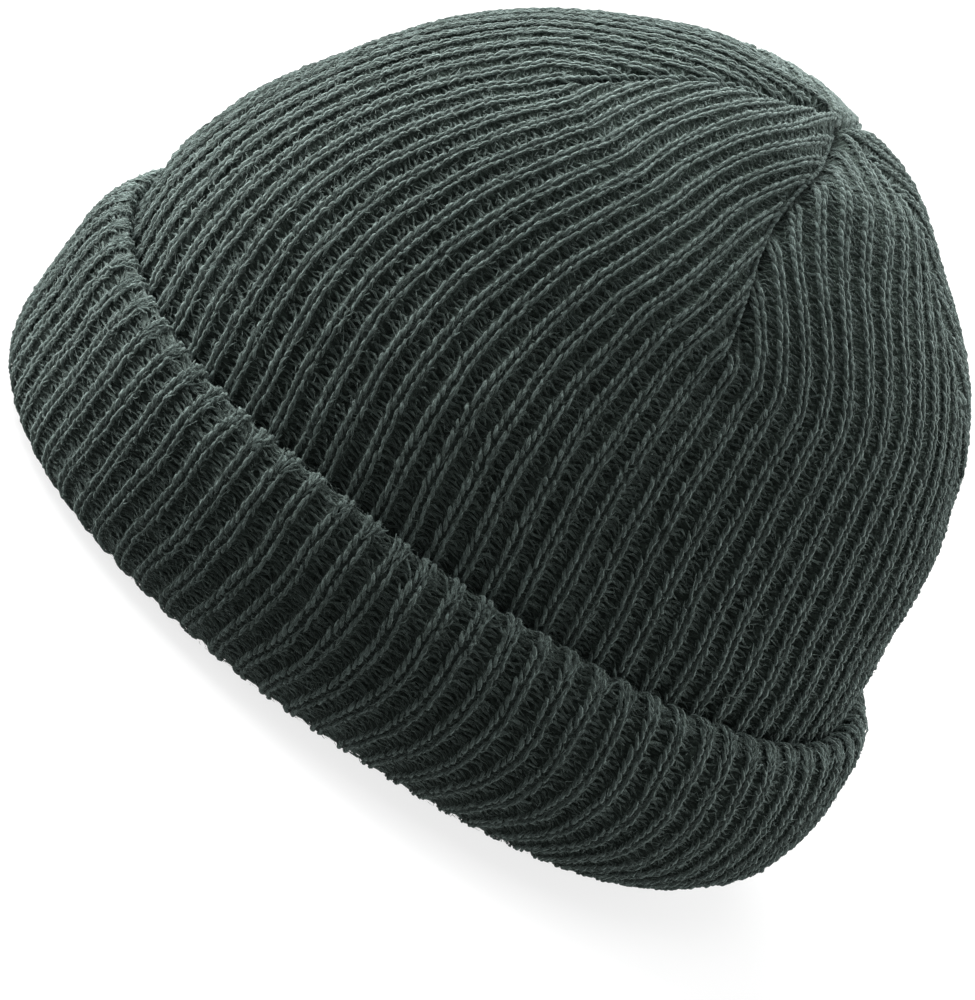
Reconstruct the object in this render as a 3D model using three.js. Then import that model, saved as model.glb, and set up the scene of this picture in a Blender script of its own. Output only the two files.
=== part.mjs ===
// A ribbed knit hat with a turned-up cuff, lying on its rim.
// Millimetres, +Z up, the hat's front toward -Y, the wearer's left side toward +X.
// One knitted cloth: the crown is its upper, dart-closed part, the cuff its lower, turned-up part.
import * as THREE from 'three';

// ---------------------------------------------------------------- driving sizes
const RIBS = 75;              // ribs round the whole cloth
const GORES = 5;              // equal gores, with a dart between each two
const COLUMNS = 2 * RIBS;     // one column on each rib's back and one in each valley
const WALL = 3.2;             // thickness of the knitted cloth
const RIB_RISE = 1.9;         // from a valley up to the back of a rib
const SEAT = 0.35;            // play between the crown and the cuff that holds it
const SECTION_POWER = 2.2;    // the plan is a slightly squared oval
const CROWN_FOOT = 8.3;       // height at which the crown stands on the rim fold
const FOLD_TOP = 8.0;         // top of the rim fold, inside the cuff
const DART_DEPTH = 2.3;       // how far a sewn dart is drawn in
const DART_RIDGE = 1.6;       // how far its seam stands out inside the hat
const TIP_BACK = 11.4;        // the tip sits this far behind the middle

// Outline of the crown over the backs of its ribs, a row for each level: height,
// reach to the front and to the back, and half of the width.
const CROWN_ROWS = [
  { z: 8.3, front: 100.4, back: 95.0, half: 82.8 },
  { z: 24.0, front: 102.4, back: 99.8, half: 87.4 },
  { z: 43.5, front: 100.7, back: 98.6, half: 86.4 },
  { z: 50.5, front: 101.3, back: 98.4, half: 85.9 },
  { z: 62.0, front: 102.2, back: 98.2, half: 85.7 },
  { z: 76.0, front: 98.9, back: 95.4, half: 83.0 },
  { z: 103.0, front: 85.7, back: 88.9, half: 72.9 },
  { z: 126.6, front: 67.5, back: 74.9, half: 60.5 },
  { z: 144.5, front: 44.2, back: 53.5, half: 45.2 },
  { z: 157.3, front: 15.2, back: 32.5, half: 28.4 },
  { z: 159.7, front: -TIP_BACK, back: TIP_BACK, half: 0.0 },
];

// Outline of the cuff over the backs of its ribs, in the same columns.
const CUFF_ROWS = [
  { z: 0.0, front: 98.4, back: 91.5, half: 78.8 },
  { z: 3.0, front: 104.8, back: 96.6, half: 83.6 },
  { z: 8.0, front: 107.1, back: 101.0, half: 88.7 },
  { z: 18.0, front: 108.1, back: 107.2, half: 94.6 },
  { z: 30.0, front: 108.1, back: 109.0, half: 96.8 },
  { z: 41.0, front: 108.6, back: 107.6, half: 96.0 },
  { z: 47.0, front: 107.9, back: 106.4, half: 93.7 },
  { z: 52.0, front: 106.1, back: 103.9, half: 91.2 },
];

// The darts, as shares of the way round from the front centre toward the wearer's left.
// 'base' is where the dart's line would meet the cuff, 'foot' and 'footZ' where the dart
// ends, 'tip' the way that it leaves the tip of the hat.
const DARTS = [
  { name: 'front', base: 0.066, foot: 0.0385, tip: 0.036, footZ: 137 },
  { name: 'left', base: 0.252, foot: 0.2385, tip: 0.217, footZ: 118 },
  { name: 'back_left', base: 0.441, foot: 0.4385, tip: 0.426, footZ: 110 },
  { name: 'back_right', base: 0.645, foot: 0.6385, tip: 0.635, footZ: 116 },
  { name: 'right', base: 0.850, foot: 0.8385, tip: 0.838, footZ: 126 },
];

// How far each gore, counted from the front dart, puffs out between its darts: 'belly'
// on the way up, 'shoulder' close round the tip.
const GORE_PUFF = [
  { gore: 0, belly: 1.3, shoulder: 2.6 },
  { gore: 1, belly: 0.9, shoulder: 0.4 },
  { gore: 2, belly: 1.0, shoulder: 0.4 },
  { gore: 3, belly: 0.8, shoulder: 1.7 },
  { gore: 4, belly: 1.3, shoulder: 2.1 },
];
const SHOULDER = { row: 9.7, reach: 0.46 };  // where it is, in rows of the crown's outline

// Soft dents and swellings of the cloth: share of the way round, height, how far they
// reach along and up, and how deep they go (out of the cloth is positive).
const CROWN_DENTS = [
  { share: 0.10, z: 66, along: 0.050, up: 11, deep: -1.4 },
  { share: 0.16, z: 84, along: 0.060, up: 16, deep: 0.9 },
  { share: 0.30, z: 74, along: 0.070, up: 12, deep: -0.8 },
  { share: 0.44, z: 68, along: 0.060, up: 14, deep: -1.5 },
  { share: 0.58, z: 92, along: 0.060, up: 18, deep: 1.0 },
  { share: 0.72, z: 70, along: 0.070, up: 12, deep: -1.2 },
  { share: 0.90, z: 80, along: 0.060, up: 16, deep: 0.8 },
  { share: 0.24, z: 113, along: 0.022, up: 5, deep: -1.5 },
  { share: 0.038, z: 133, along: 0.022, up: 5, deep: -1.3 },
  { share: 0.44, z: 106, along: 0.022, up: 5, deep: -1.4 },
];
const CUFF_DENTS = [
  { share: 0.07, z: 30, along: 0.040, up: 14, deep: 0.9 },
  { share: 0.17, z: 34, along: 0.050, up: 16, deep: -0.9 },
  { share: 0.29, z: 24, along: 0.050, up: 14, deep: 0.6 },
  { share: 0.40, z: 36, along: 0.050, up: 14, deep: -0.7 },
  { share: 0.62, z: 28, along: 0.060, up: 16, deep: -0.8 },
  { share: 0.81, z: 32, along: 0.060, up: 14, deep: 0.7 },
];

// The cuff's top edge is pulled down at the front and rises a little at the back.
const EDGE_DROP = { front: -5.1, back: 1.9, reach: 105, startZ: 10, fullZ: 46, goneZ: 96 };

// Section of the cuff, a row for each corner: the height, the outline that it is
// measured from, how far it lies inside that outline, and how much of the rib it keeps.
// A row that lies between the two outlines gives its share of the way to the crown.
const CUFF_SECTION = [
  { z: 0.0, from: 'cuff', inside: 0.0, rib: 0.5 },
  { z: 3.0, from: 'cuff', inside: 0.0, rib: 0.6 },
  { z: 8.0, from: 'cuff', inside: 0.0, rib: 0.85 },
  { z: 18.0, from: 'cuff', inside: 0.0, rib: 1.0 },
  { z: 30.0, from: 'cuff', inside: 0.0, rib: 1.0 },
  { z: 41.0, from: 'cuff', inside: 0.0, rib: 1.0 },
  { z: 47.0, from: 'cuff', inside: 0.2, rib: 1.0 },
  { z: 50.2, from: 'between', inside: 0.16, rib: 1.0 },
  { z: 51.8, from: 'between', inside: 0.50, rib: 0.9 },
  { z: 49.8, from: 'crown', inside: -SEAT, rib: 1.0 },
  { z: 43.5, from: 'crown', inside: -SEAT, rib: 1.0 },
  { z: 41.0, from: 'cuff', inside: WALL, rib: 1.0 },
  { z: 24.0, from: 'cuff', inside: WALL, rib: 1.0 },
  { z: FOLD_TOP, from: 'cuff', inside: WALL, rib: 1.0 },
  { z: FOLD_TOP, from: 'crown', inside: WALL, rib: 1.0 },
  { z: 2.6, from: 'cuff', inside: 5.8, rib: 0.6 },
  { z: 0.0, from: 'cuff', inside: 4.0, rib: 0.5 },
];

// Levels of the crown's outer and inner faces.
const OUTER_LEVELS = [8.3, 24, 43.5, 50.5, 62, 76, 90, 103, 113, 122, 130.5, 138, 144.5, 150.5, 155.2, 158.0, 159.2];
const INNER_LEVELS = [8.3, 43.5, 76, 98, 115, 130.5, 143, 152.5];

// ---------------------------------------------------------------- small helpers
const clamp = (v, lo, hi) => Math.min(hi, Math.max(lo, v));
const ease = (v) => { const u = clamp(v, 0, 1); return u * u * (3 - 2 * u); };
const mix = (a, b, u) => a + (b - a) * u;

// A smooth curve through rows of a table that never overshoots them.
function slopes(xs, ys) {
  const n = xs.length;
  const h = [], d = [], m = new Array(n).fill(0);
  for (let i = 0; i < n - 1; i += 1) { h.push(xs[i + 1] - xs[i]); d.push((ys[i + 1] - ys[i]) / h[i]); }
  for (let i = 1; i < n - 1; i += 1) {
    if (d[i - 1] * d[i] > 0) {
      const w1 = 2 * h[i] + h[i - 1], w2 = h[i] + 2 * h[i - 1];
      m[i] = (w1 + w2) / (w1 / d[i - 1] + w2 / d[i]);
    }
  }
  m[0] = d[0];
  m[n - 1] = d[n - 2];
  return m;
}

function curve(xs, ys) {
  const m = slopes(xs, ys);
  return (x) => {
    let i = 0;
    while (i < xs.length - 2 && x > xs[i + 1]) i += 1;
    const h = xs[i + 1] - xs[i], u = clamp((x - xs[i]) / h, -0.2, 1.2);
    const u2 = u * u, u3 = u2 * u;
    return ys[i] * (2 * u3 - 3 * u2 + 1) + m[i] * h * (u3 - 2 * u2 + u)
      + ys[i + 1] * (3 * u2 - 2 * u3) + m[i + 1] * h * (u3 - u2);
  };
}

// An outline: the rows of a table joined smoothly, read by a running level.
class Outline {
  constructor(rows) {
    const index = rows.map((_, i) => i);
    this.last = rows.length - 1;
    this.zAt = curve(index, rows.map((r) => r.z));
    this.frontAt = curve(index, rows.map((r) => r.front));
    this.backAt = curve(index, rows.map((r) => r.back));
    this.halfAt = curve(index, rows.map((r) => r.half));
    this.rings = new Map();
  }

  levelOf(z) {
    let lo = 0, hi = this.last;
    for (let k = 0; k < 50; k += 1) {
      const mid = (lo + hi) / 2;
      if (this.zAt(mid) < z) lo = mid; else hi = mid;
    }
    return (lo + hi) / 2;
  }

  // The oval at a level, walked once round and measured, so that a share of its
  // length can be turned into a point of it.
  ring(level) {
    const key = level.toFixed(6);
    if (this.rings.has(key)) return this.rings.get(key);
    const front = this.frontAt(level), back = this.backAt(level);
    const half = Math.max(this.halfAt(level), 0), z = this.zAt(level);
    const steps = 720, pts = [], len = [0];
    for (let i = 0; i <= steps; i += 1) {
      const a = (2 * Math.PI * i) / steps, c = Math.sin(a), s = -Math.cos(a);
      const k = (Math.abs(c) ** SECTION_POWER + Math.abs(s) ** SECTION_POWER) ** (-1 / SECTION_POWER);
      pts.push([half * c * k, (back - front) / 2 + ((back + front) / 2) * s * k]);
      if (i > 0) len.push(len[i - 1] + Math.hypot(pts[i][0] - pts[i - 1][0], pts[i][1] - pts[i - 1][1]));
    }
    const made = { z, pts, len, total: len[steps] };
    this.rings.set(key, made);
    return made;
  }

  point(level, share) {
    const ring = this.ring(level);
    const u = (share - Math.floor(share)) * ring.total;
    let lo = 0, hi = ring.len.length - 1;
    while (hi - lo > 1) { const mid = (lo + hi) >> 1; if (ring.len[mid] <= u) lo = mid; else hi = mid; }
    const f = (u - ring.len[lo]) / (ring.len[hi] - ring.len[lo] || 1);
    return new THREE.Vector3(
      mix(ring.pts[lo][0], ring.pts[hi][0], f), mix(ring.pts[lo][1], ring.pts[hi][1], f), ring.z);
  }

  // The way out of the cloth at a point of the outline.
  normal(level, share) {
    const ds = 0.004, dl = 0.04;
    const l0 = clamp(level - dl, 0, this.last - 0.02), l1 = clamp(level + dl, 0.02, this.last);
    const along = this.point(level, share + ds).sub(this.point(level, share - ds));
    const up = this.point(l1, share).sub(this.point(l0, share));
    const n = along.cross(up);
    return n.lengthSq() < 1e-12 ? new THREE.Vector3(0, 0, 1) : n.normalize();
  }
}

const crownOutline = new Outline(CROWN_ROWS);
const cuffOutline = new Outline(CUFF_ROWS);
const TOP = CROWN_ROWS[CROWN_ROWS.length - 1].z;

// Soft pull of the cuff's top edge, front and back, shared by both pieces.
function dropped(p) {
  const s = p.y / EDGE_DROP.reach;
  const rise = p.z <= EDGE_DROP.fullZ ? ease((p.z - EDGE_DROP.startZ) / (EDGE_DROP.fullZ - EDGE_DROP.startZ))
    : 1 - ease((p.z - EDGE_DROP.fullZ) / (EDGE_DROP.goneZ - EDGE_DROP.fullZ));
  p.z += (s < 0 ? EDGE_DROP.front : EDGE_DROP.back) * s * s * rise;
  return p;
}

function dents(table, share, z) {
  let sum = 0;
  for (const d of table) {
    let a = share - d.share;
    a -= Math.round(a);
    sum += d.deep * Math.exp(-((a / d.along) ** 2) - (((z - d.z) / d.up) ** 2));
  }
  return sum;
}

// ---------------------------------------------------------------- where the ribs run
// Share of the way round of a dart's line at a height.
function dartShare(dart, z) {
  const low = mix(dart.base, dart.foot, ease((z - 44) / (108 - 44)));
  return mix(low, dart.tip, ease((z - dart.footZ) / (TOP - 4 - dart.footZ)));
}

// How much of a half gore is still there above the foot of its dart. The ribs keep
// their spacing, so the others have ended on the dart.
function alive(dart, z) {
  if (z <= dart.footZ) return 1;
  const now = crownOutline.ring(crownOutline.levelOf(Math.min(z, TOP - 0.4))).total;
  const then = crownOutline.ring(crownOutline.levelOf(dart.footZ)).total;
  return now / then;
}

// A column's place at a height: its share of the way round, how far it is from the dart
// beside it (0 on the dart itself, 1 in the middle of the gore) and whether it has ended.
function columnPlace(column, z) {
  const perGore = COLUMNS / GORES;
  const gore = Math.floor(column / perGore) % GORES;
  const f = (column % perGore) / perGore;
  const left = DARTS[gore], right = DARTS[(gore + 1) % GORES];
  const s0 = dartShare(left, z);
  let s1 = dartShare(right, z);
  if (s1 < s0) s1 += 1;
  const w0 = alive(left, z), w1 = alive(right, z);
  const mid = w0 / (w0 + w1);
  let g = f < 0.5 ? mid * (1 - (1 - 2 * f) / w0) : mid + (1 - mid) * ((2 * f - 1) / w1);
  const ended = g < -1e-9 || g > 1 + 1e-9;
  g = clamp(g, 0, 1);
  return { gore, g, ended, share: mix(s0, s1, g), dart: f < 0.5 ? left : right };
}

const isRidge = (column) => column % 2 === 1;

// A corner of the crown. 'depth' is how far it lies inside the outline.
function crownCorner(column, z, depth, inner) {
  const level = crownOutline.levelOf(z);
  const place = columnPlace(column, z);
  const onDart = (place.g <= 0 || place.g >= 1) && z > place.dart.footZ - 1e-9;
  const drawn = ease((z - place.dart.footZ + 4) / 12);
  let inside = depth + (isRidge(column) ? 0 : RIB_RISE);
  if (onDart) inside = depth + RIB_RISE + (inner ? DART_RIDGE : DART_DEPTH - RIB_RISE) * drawn;
  const puff = GORE_PUFF[place.gore];
  const round = Math.sin(Math.PI * place.g);
  let out = puff.belly * round * ease((z - 96) / 30);
  out += puff.shoulder * round * Math.exp(-(((level - SHOULDER.row) / SHOULDER.reach) ** 2));
  out += dents(CROWN_DENTS, place.share, z);
  const p = crownOutline.point(level, place.share);
  p.addScaledVector(crownOutline.normal(level, place.share), out - inside);
  if (z < CROWN_FOOT + 0.01) p.z = CROWN_FOOT;
  return dropped(p);
}

// A corner of the cuff at a row of its section.
function cuffCorner(column, row) {
  if (row.from === 'between') {
    const outer = cuffCorner(column, { ...row, from: 'cuff', inside: 0 });
    return outer.lerp(cuffCorner(column, { ...row, from: 'crown', inside: -SEAT }), row.inside);
  }
  const share = columnPlace(column, 40).share;
  const rib = isRidge(column) ? 0 : RIB_RISE * row.rib;
  if (row.from === 'crown') {
    const level = crownOutline.levelOf(row.z);
    const here = columnPlace(column, row.z).share;
    const p = crownOutline.point(level, here);
    p.addScaledVector(crownOutline.normal(level, here), dents(CROWN_DENTS, here, row.z) - row.inside - rib);
    p.z = row.z;
    return dropped(p);
  }
  const level = cuffOutline.levelOf(row.z);
  const p = cuffOutline.point(level, share);
  const n = cuffOutline.normal(level, share).setZ(0).normalize();
  const wave = row.z > 45 ? 0.5 * Math.sin(2 * Math.PI * (share * 7 + 0.2)) + 0.4 * Math.sin(2 * Math.PI * (share * 11 + 0.6)) : 0;
  p.addScaledVector(n, dents(CUFF_DENTS, share, row.z) - row.inside - rib);
  p.z = row.z + wave;
  return dropped(p);
}

// ---------------------------------------------------------------- mesh building
class Skin {
  constructor() {
    this.points = [];
    this.faces = [];
  }

  add(p) {
    this.points.push(p);
    return this.points.length - 1;
  }

  face(a, b, c) {
    if (a !== b && b !== c && c !== a) this.faces.push([a, b, c]);
  }

  quad(a, b, c, d) {
    // split along the shorter diagonal
    const p = this.points;
    if (p[a].distanceToSquared(p[c]) <= p[b].distanceToSquared(p[d])) {
      this.face(a, b, c);
      this.face(a, c, d);
    } else {
      this.face(a, b, d);
      this.face(b, c, d);
    }
  }

  geometry() {
    const positions = new Float32Array(this.points.flatMap((p) => [p.x, p.y, p.z]));
    const geometry = new THREE.BufferGeometry();
    geometry.setAttribute('position', new THREE.BufferAttribute(positions, 3));
    geometry.setIndex(this.faces.flat());
    geometry.computeVertexNormals();
    return geometry;
  }
}

// One ring of corners of the crown. Columns that have ended share the dart's corner.
function crownRing(skin, z, depth, inner) {
  const ring = new Array(COLUMNS).fill(-1);
  const onDart = new Map();
  for (let c = 0; c < COLUMNS; c += 1) {
    const place = columnPlace(c, z);
    const edge = (place.g <= 1e-9 || place.g >= 1 - 1e-9);
    if (edge && z > place.dart.footZ) {
      const key = place.dart.name;
      if (!onDart.has(key)) onDart.set(key, skin.add(crownCorner(c, z, depth, inner)));
      ring[c] = onDart.get(key);
    } else {
      ring[c] = skin.add(crownCorner(c, z, depth, inner));
    }
  }
  return ring;
}

function band(skin, low, high, outward) {
  for (let c = 0; c < low.length; c += 1) {
    const d = (c + 1) % low.length;
    if (outward) skin.quad(low[c], low[d], high[d], high[c]);
    else skin.quad(low[d], low[c], high[c], high[d]);
  }
}

function cap(skin, ring, apex, outward) {
  const tip = skin.add(apex);
  for (let c = 0; c < ring.length; c += 1) {
    const d = (c + 1) % ring.length;
    if (outward) skin.face(ring[c], ring[d], tip);
    else skin.face(ring[d], ring[c], tip);
  }
}

function crownGeometry() {
  const skin = new Skin();
  const outer = OUTER_LEVELS.map((z) => crownRing(skin, z, 0, false));
  const inner = INNER_LEVELS.map((z) => crownRing(skin, z, WALL, true));
  for (let i = 0; i + 1 < outer.length; i += 1) band(skin, outer[i], outer[i + 1], true);
  for (let i = 0; i + 1 < inner.length; i += 1) band(skin, inner[i], inner[i + 1], false);
  band(skin, inner[0], outer[0], true);
  cap(skin, outer[outer.length - 1], new THREE.Vector3(0, TIP_BACK, TOP - DART_DEPTH * 0.6), true);
  cap(skin, inner[inner.length - 1], new THREE.Vector3(0, TIP_BACK, TOP - WALL - RIB_RISE - DART_RIDGE), false);
  return skin.geometry();
}

function cuffGeometry() {
  const skin = new Skin();
  const rings = CUFF_SECTION.map((row) => {
    const ring = [];
    for (let c = 0; c < COLUMNS; c += 1) ring.push(skin.add(cuffCorner(c, row)));
    return ring;
  });
  for (let i = 0; i < rings.length; i += 1) band(skin, rings[i], rings[(i + 1) % rings.length], true);
  return skin.geometry();
}

// ---------------------------------------------------------------- the hat
const crownYarn = new THREE.MeshStandardMaterial({ name: 'crown_knit', color: 0x3b4643, roughness: 0.95, metalness: 0.0 });
const cuffYarn = new THREE.MeshStandardMaterial({ name: 'cuff_knit', color: 0x384340, roughness: 0.96, metalness: 0.0 });

const crown = new THREE.Mesh(crownGeometry(), crownYarn);
crown.name = 'crown';
const cuff = new THREE.Mesh(cuffGeometry(), cuffYarn);
cuff.name = 'cuff';

const group = new THREE.Group();
group.name = 'knit_hat';
group.add(crown, cuff);

export default group;
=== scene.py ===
"""Looks of a ribbed knit hat with a turned-up cuff, lying on its rim.

The crown and the cuff follow the same outlines, darts and columns as the solids. On a ribbed
backing cloth lies the yarn itself: two chains of slanting stitch legs on every rib, the strands
that cross the valleys, the bound edge of the cuff, the seams of the darts and a little fuzz.
Millimetres are used throughout and turned into metres when a mesh is made.
"""
import logging
import math
from dataclasses import astuple, dataclass, field, replace
from enum import Enum
from typing import Callable, Sequence

import bpy
import numpy as np
from mathutils import Matrix, Vector


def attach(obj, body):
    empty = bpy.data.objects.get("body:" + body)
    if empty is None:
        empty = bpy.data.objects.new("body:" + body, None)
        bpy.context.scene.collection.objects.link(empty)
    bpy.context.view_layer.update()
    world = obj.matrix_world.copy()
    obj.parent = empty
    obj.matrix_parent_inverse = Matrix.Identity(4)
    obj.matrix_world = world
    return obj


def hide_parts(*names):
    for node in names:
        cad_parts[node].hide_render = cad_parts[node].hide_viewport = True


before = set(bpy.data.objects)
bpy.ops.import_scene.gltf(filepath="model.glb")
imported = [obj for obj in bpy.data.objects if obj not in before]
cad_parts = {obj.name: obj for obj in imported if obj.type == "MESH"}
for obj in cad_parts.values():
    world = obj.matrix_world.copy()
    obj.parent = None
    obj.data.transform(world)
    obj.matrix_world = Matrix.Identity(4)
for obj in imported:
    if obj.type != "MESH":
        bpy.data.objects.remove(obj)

LOG = logging.getLogger("knit_hat")
MM = 0.001  # metres in a millimetre

Number = float | np.ndarray
Colour = tuple[float, float, float]
Spot = tuple[float, float, float]

# Sizes in millimetres, and counts
RIBS = 75
GORES = 5
COLUMNS = 2 * RIBS  # a rib and a valley count as one column each
PER_GORE = COLUMNS / GORES
WALL = 3.2
RIB_RISE = 1.9
SEAT = 0.35  # from the crown to the cuff's inner side
SECTION_POWER = 2.2  # how square the ovals are
TIP_BACK = 11.4  # how far the tip lies behind the middle
TOP = 159.7
ROW = 2.05  # height of a row of stitches
COLUMN = 3.7  # usual width of a column
DART_DEPTH = 2.3

# The cuff's top edge hangs lower at the front and stands higher at the back.
HANG_FRONT = -5.1
HANG_BACK = 1.9
HANG_REACH = 105.0
HANG_FROM = 10.0
HANG_Z = 46.0
HANG_FADE = 50.0


@dataclass(frozen=True)
class Ring:
    """A level of an outline: height, reach to the front and the back, half of the width."""

    z: float
    front: float
    back: float
    half: float


class Follows(Enum):
    """What a corner of the cuff's section follows."""

    CROWN = "crown"
    CUFF = "cuff"
    BETWEEN = "between"


@dataclass(frozen=True)
class Corner:
    """A corner of the cuff's section.

    It has a height, what it follows, how far inside that it lies and its share of the rib.
    Between the two outlines, inside is the share of the way from the cuff to the crown.
    """

    z: float
    follows: Follows
    inside: float
    rib: float


@dataclass(frozen=True)
class Dart:
    """A sewn dart, as shares of the way round, with the height of its foot."""

    base: float
    foot: float
    tip: float
    foot_z: float


@dataclass(frozen=True)
class Dent:
    """A soft dent or swelling of the cloth."""

    share: float
    z: float
    along: float
    up: float
    deep: float


CROWN_ROWS = (
    Ring(8.3, 100.4, 95.0, 82.8),
    Ring(24.0, 102.4, 99.8, 87.4),
    Ring(43.5, 100.7, 98.6, 86.4),
    Ring(50.5, 101.3, 98.4, 85.9),
    Ring(62.0, 102.2, 98.2, 85.7),
    Ring(76.0, 98.9, 95.4, 83.0),
    Ring(103.0, 85.7, 88.9, 72.9),
    Ring(126.6, 67.5, 74.9, 60.5),
    Ring(144.5, 44.2, 53.5, 45.2),
    Ring(157.3, 15.2, 32.5, 28.4),
    Ring(TOP, -TIP_BACK, TIP_BACK, 0.0),
)
CUFF_ROWS = (
    Ring(0.0, 98.4, 91.5, 78.8),
    Ring(3.0, 104.8, 96.6, 83.6),
    Ring(8.0, 107.1, 101.0, 88.7),
    Ring(18.0, 108.1, 107.2, 94.6),
    Ring(30.0, 108.1, 109.0, 96.8),
    Ring(41.0, 108.6, 107.6, 96.0),
    Ring(47.0, 107.9, 106.4, 93.7),
    Ring(52.0, 106.1, 103.9, 91.2),
)
CUFF_SECTION = (
    Corner(9.5, Follows.CROWN, 5.6, 0.40),
    Corner(2.6, Follows.CUFF, 5.8, 0.50),
    Corner(0.0, Follows.CUFF, 4.0, 0.35),
    Corner(0.0, Follows.CUFF, 0.0, 0.40),
    Corner(3.0, Follows.CUFF, 0.0, 0.60),
    Corner(8.0, Follows.CUFF, 0.0, 0.90),
    Corner(18.0, Follows.CUFF, 0.0, 1.0),
    Corner(30.0, Follows.CUFF, 0.0, 1.0),
    Corner(41.0, Follows.CUFF, 0.0, 1.0),
    Corner(47.0, Follows.CUFF, 0.2, 0.88),
    Corner(50.2, Follows.BETWEEN, 0.16, 0.80),
    Corner(51.8, Follows.BETWEEN, 0.50, 0.72),
    Corner(49.8, Follows.CROWN, -SEAT, 0.60),
    Corner(43.5, Follows.CROWN, -SEAT, 0.50),
)
DARTS = (
    Dart(0.066, 0.0385, 0.036, 137.0),
    Dart(0.252, 0.2385, 0.217, 118.0),
    Dart(0.441, 0.4385, 0.426, 110.0),
    Dart(0.645, 0.6385, 0.635, 116.0),
    Dart(0.850, 0.8385, 0.838, 126.0),
)
GORE_BELLY = (1.3, 0.9, 1.0, 0.8, 1.3)
GORE_SHOULDER = (2.6, 0.4, 0.4, 1.7, 2.1)
SHOULDER_ROW = 9.7
SHOULDER_REACH = 0.46
CROWN_DENTS = (
    Dent(0.10, 66, 0.050, 11, -1.4),
    Dent(0.16, 84, 0.060, 16, 0.9),
    Dent(0.30, 74, 0.070, 12, -0.8),
    Dent(0.44, 68, 0.060, 14, -1.5),
    Dent(0.58, 92, 0.060, 18, 1.0),
    Dent(0.72, 70, 0.070, 12, -1.2),
    Dent(0.90, 80, 0.060, 16, 0.8),
    Dent(0.24, 113, 0.022, 5, -1.5),
    Dent(0.038, 133, 0.022, 5, -1.3),
    Dent(0.44, 106, 0.022, 5, -1.4),
)
CUFF_DENTS = (
    Dent(0.07, 30, 0.040, 14, 0.9),
    Dent(0.17, 34, 0.050, 16, -0.9),
    Dent(0.29, 24, 0.050, 14, 0.6),
    Dent(0.40, 36, 0.050, 14, -0.7),
    Dent(0.62, 28, 0.060, 16, -0.8),
    Dent(0.81, 32, 0.060, 14, 0.7),
)


class Slot(Enum):
    """Material slots of the record."""

    CROWN = "crown_knit"
    CUFF = "cuff_knit"


# Numbers and curves


def ease(v: np.ndarray) -> np.ndarray:
    """Smooth step from 0 to 1."""
    u = np.clip(v, 0.0, 1.0)
    return u * u * (3 - 2 * u)


def mix(a: Number, b: Number, u: Number) -> Number:
    """Straight blend from a to b."""
    return a + (b - a) * u


def unit(v: np.ndarray) -> np.ndarray:
    """Vectors along the last axis, made one long."""
    return v / np.maximum(np.linalg.norm(v, axis=-1, keepdims=True), 1e-9)


class Smooth:
    """A smooth curve through rows of numbers that never overshoots them."""

    def __init__(self, xs: Sequence[float], ys: Sequence[float] | np.ndarray) -> None:
        """Works out the slopes.

        Args:
            xs: places, in rising order.
            ys: the numbers at each place.
        """
        self.xs = np.asarray(xs, float)
        self.ys = np.asarray(ys, float)
        shape = (-1,) + (1,) * (self.ys.ndim - 1)
        h = np.diff(self.xs).reshape(shape)
        d = np.diff(self.ys, axis=0) / h
        self.h = h
        w1 = 2 * h[1:] + h[:-1]
        w2 = h[1:] + 2 * h[:-1]
        same = d[:-1] * d[1:] > 0
        safe = np.where(same, d[:-1], 1.0), np.where(same, d[1:], 1.0)
        inner = np.where(same, (w1 + w2) / (w1 / safe[0] + w2 / safe[1]), 0.0)
        self.m = np.concatenate([d[:1], inner, d[-1:]])

    def __call__(self, x: np.ndarray) -> np.ndarray:
        """Reads the curve.

        Args:
            x: places. Past an end, the end's numbers hold.

        Returns:
            The numbers at each place.
        """
        x = np.asarray(x, float)
        i = np.clip(np.searchsorted(self.xs, x, side="right") - 1, 0, len(self.xs) - 2)
        extra = (1,) * (self.ys.ndim - 1)
        h = self.h.reshape((-1,) + extra)[i]
        u = np.clip((x - self.xs[i]).reshape(x.shape + extra) / h, 0.0, 1.0)
        u2, u3 = u * u, u * u * u
        return (
            self.ys[i] * (2 * u3 - 3 * u2 + 1)
            + self.m[i] * h * (u3 - 2 * u2 + u)
            + self.ys[i + 1] * (3 * u2 - 2 * u3)
            + self.m[i + 1] * h * (u3 - u2)
        )


class Patch:
    """A table of points, rows along the cloth and shares round it, read smoothly anywhere."""

    END = 1.0001  # keeps the last row inside the table

    def __init__(self, points: np.ndarray) -> None:
        """Works out the ways out of the cloth.

        Args:
            points: rows x places round x 3.
        """
        self.points = points
        along = np.roll(points, -1, axis=1) - np.roll(points, 1, axis=1)
        up = np.gradient(points, axis=0)
        self.normals = unit(np.cross(along, up))

    def _pick(self, table: np.ndarray, r: np.ndarray, s: np.ndarray) -> np.ndarray:
        """Reads a table between its entries.

        Args:
            table: rows x places round x 3.
            r: rows.
            s: shares of the way round.

        Returns:
            The blended entries.
        """
        rows, cols = table.shape[:2]
        r = np.clip(r, 0.0, rows - self.END)
        s = np.mod(s, 1.0) * cols
        i = r.astype(int)
        j = np.minimum(s.astype(int), cols - 1)
        k = (j + 1) % cols
        fs = (s - j)[..., None]
        low = mix(table[i, j], table[i, k], fs)
        high = mix(table[i + 1, j], table[i + 1, k], fs)
        return mix(low, high, (r - i)[..., None])

    def point(self, r: np.ndarray, s: np.ndarray) -> np.ndarray:
        """Points at rows r and shares s."""
        return self._pick(self.points, r, s)

    def normal(self, r: np.ndarray, s: np.ndarray) -> np.ndarray:
        """Ways out of the cloth at rows r and shares s."""
        return unit(self._pick(self.normals, r, s))


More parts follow.
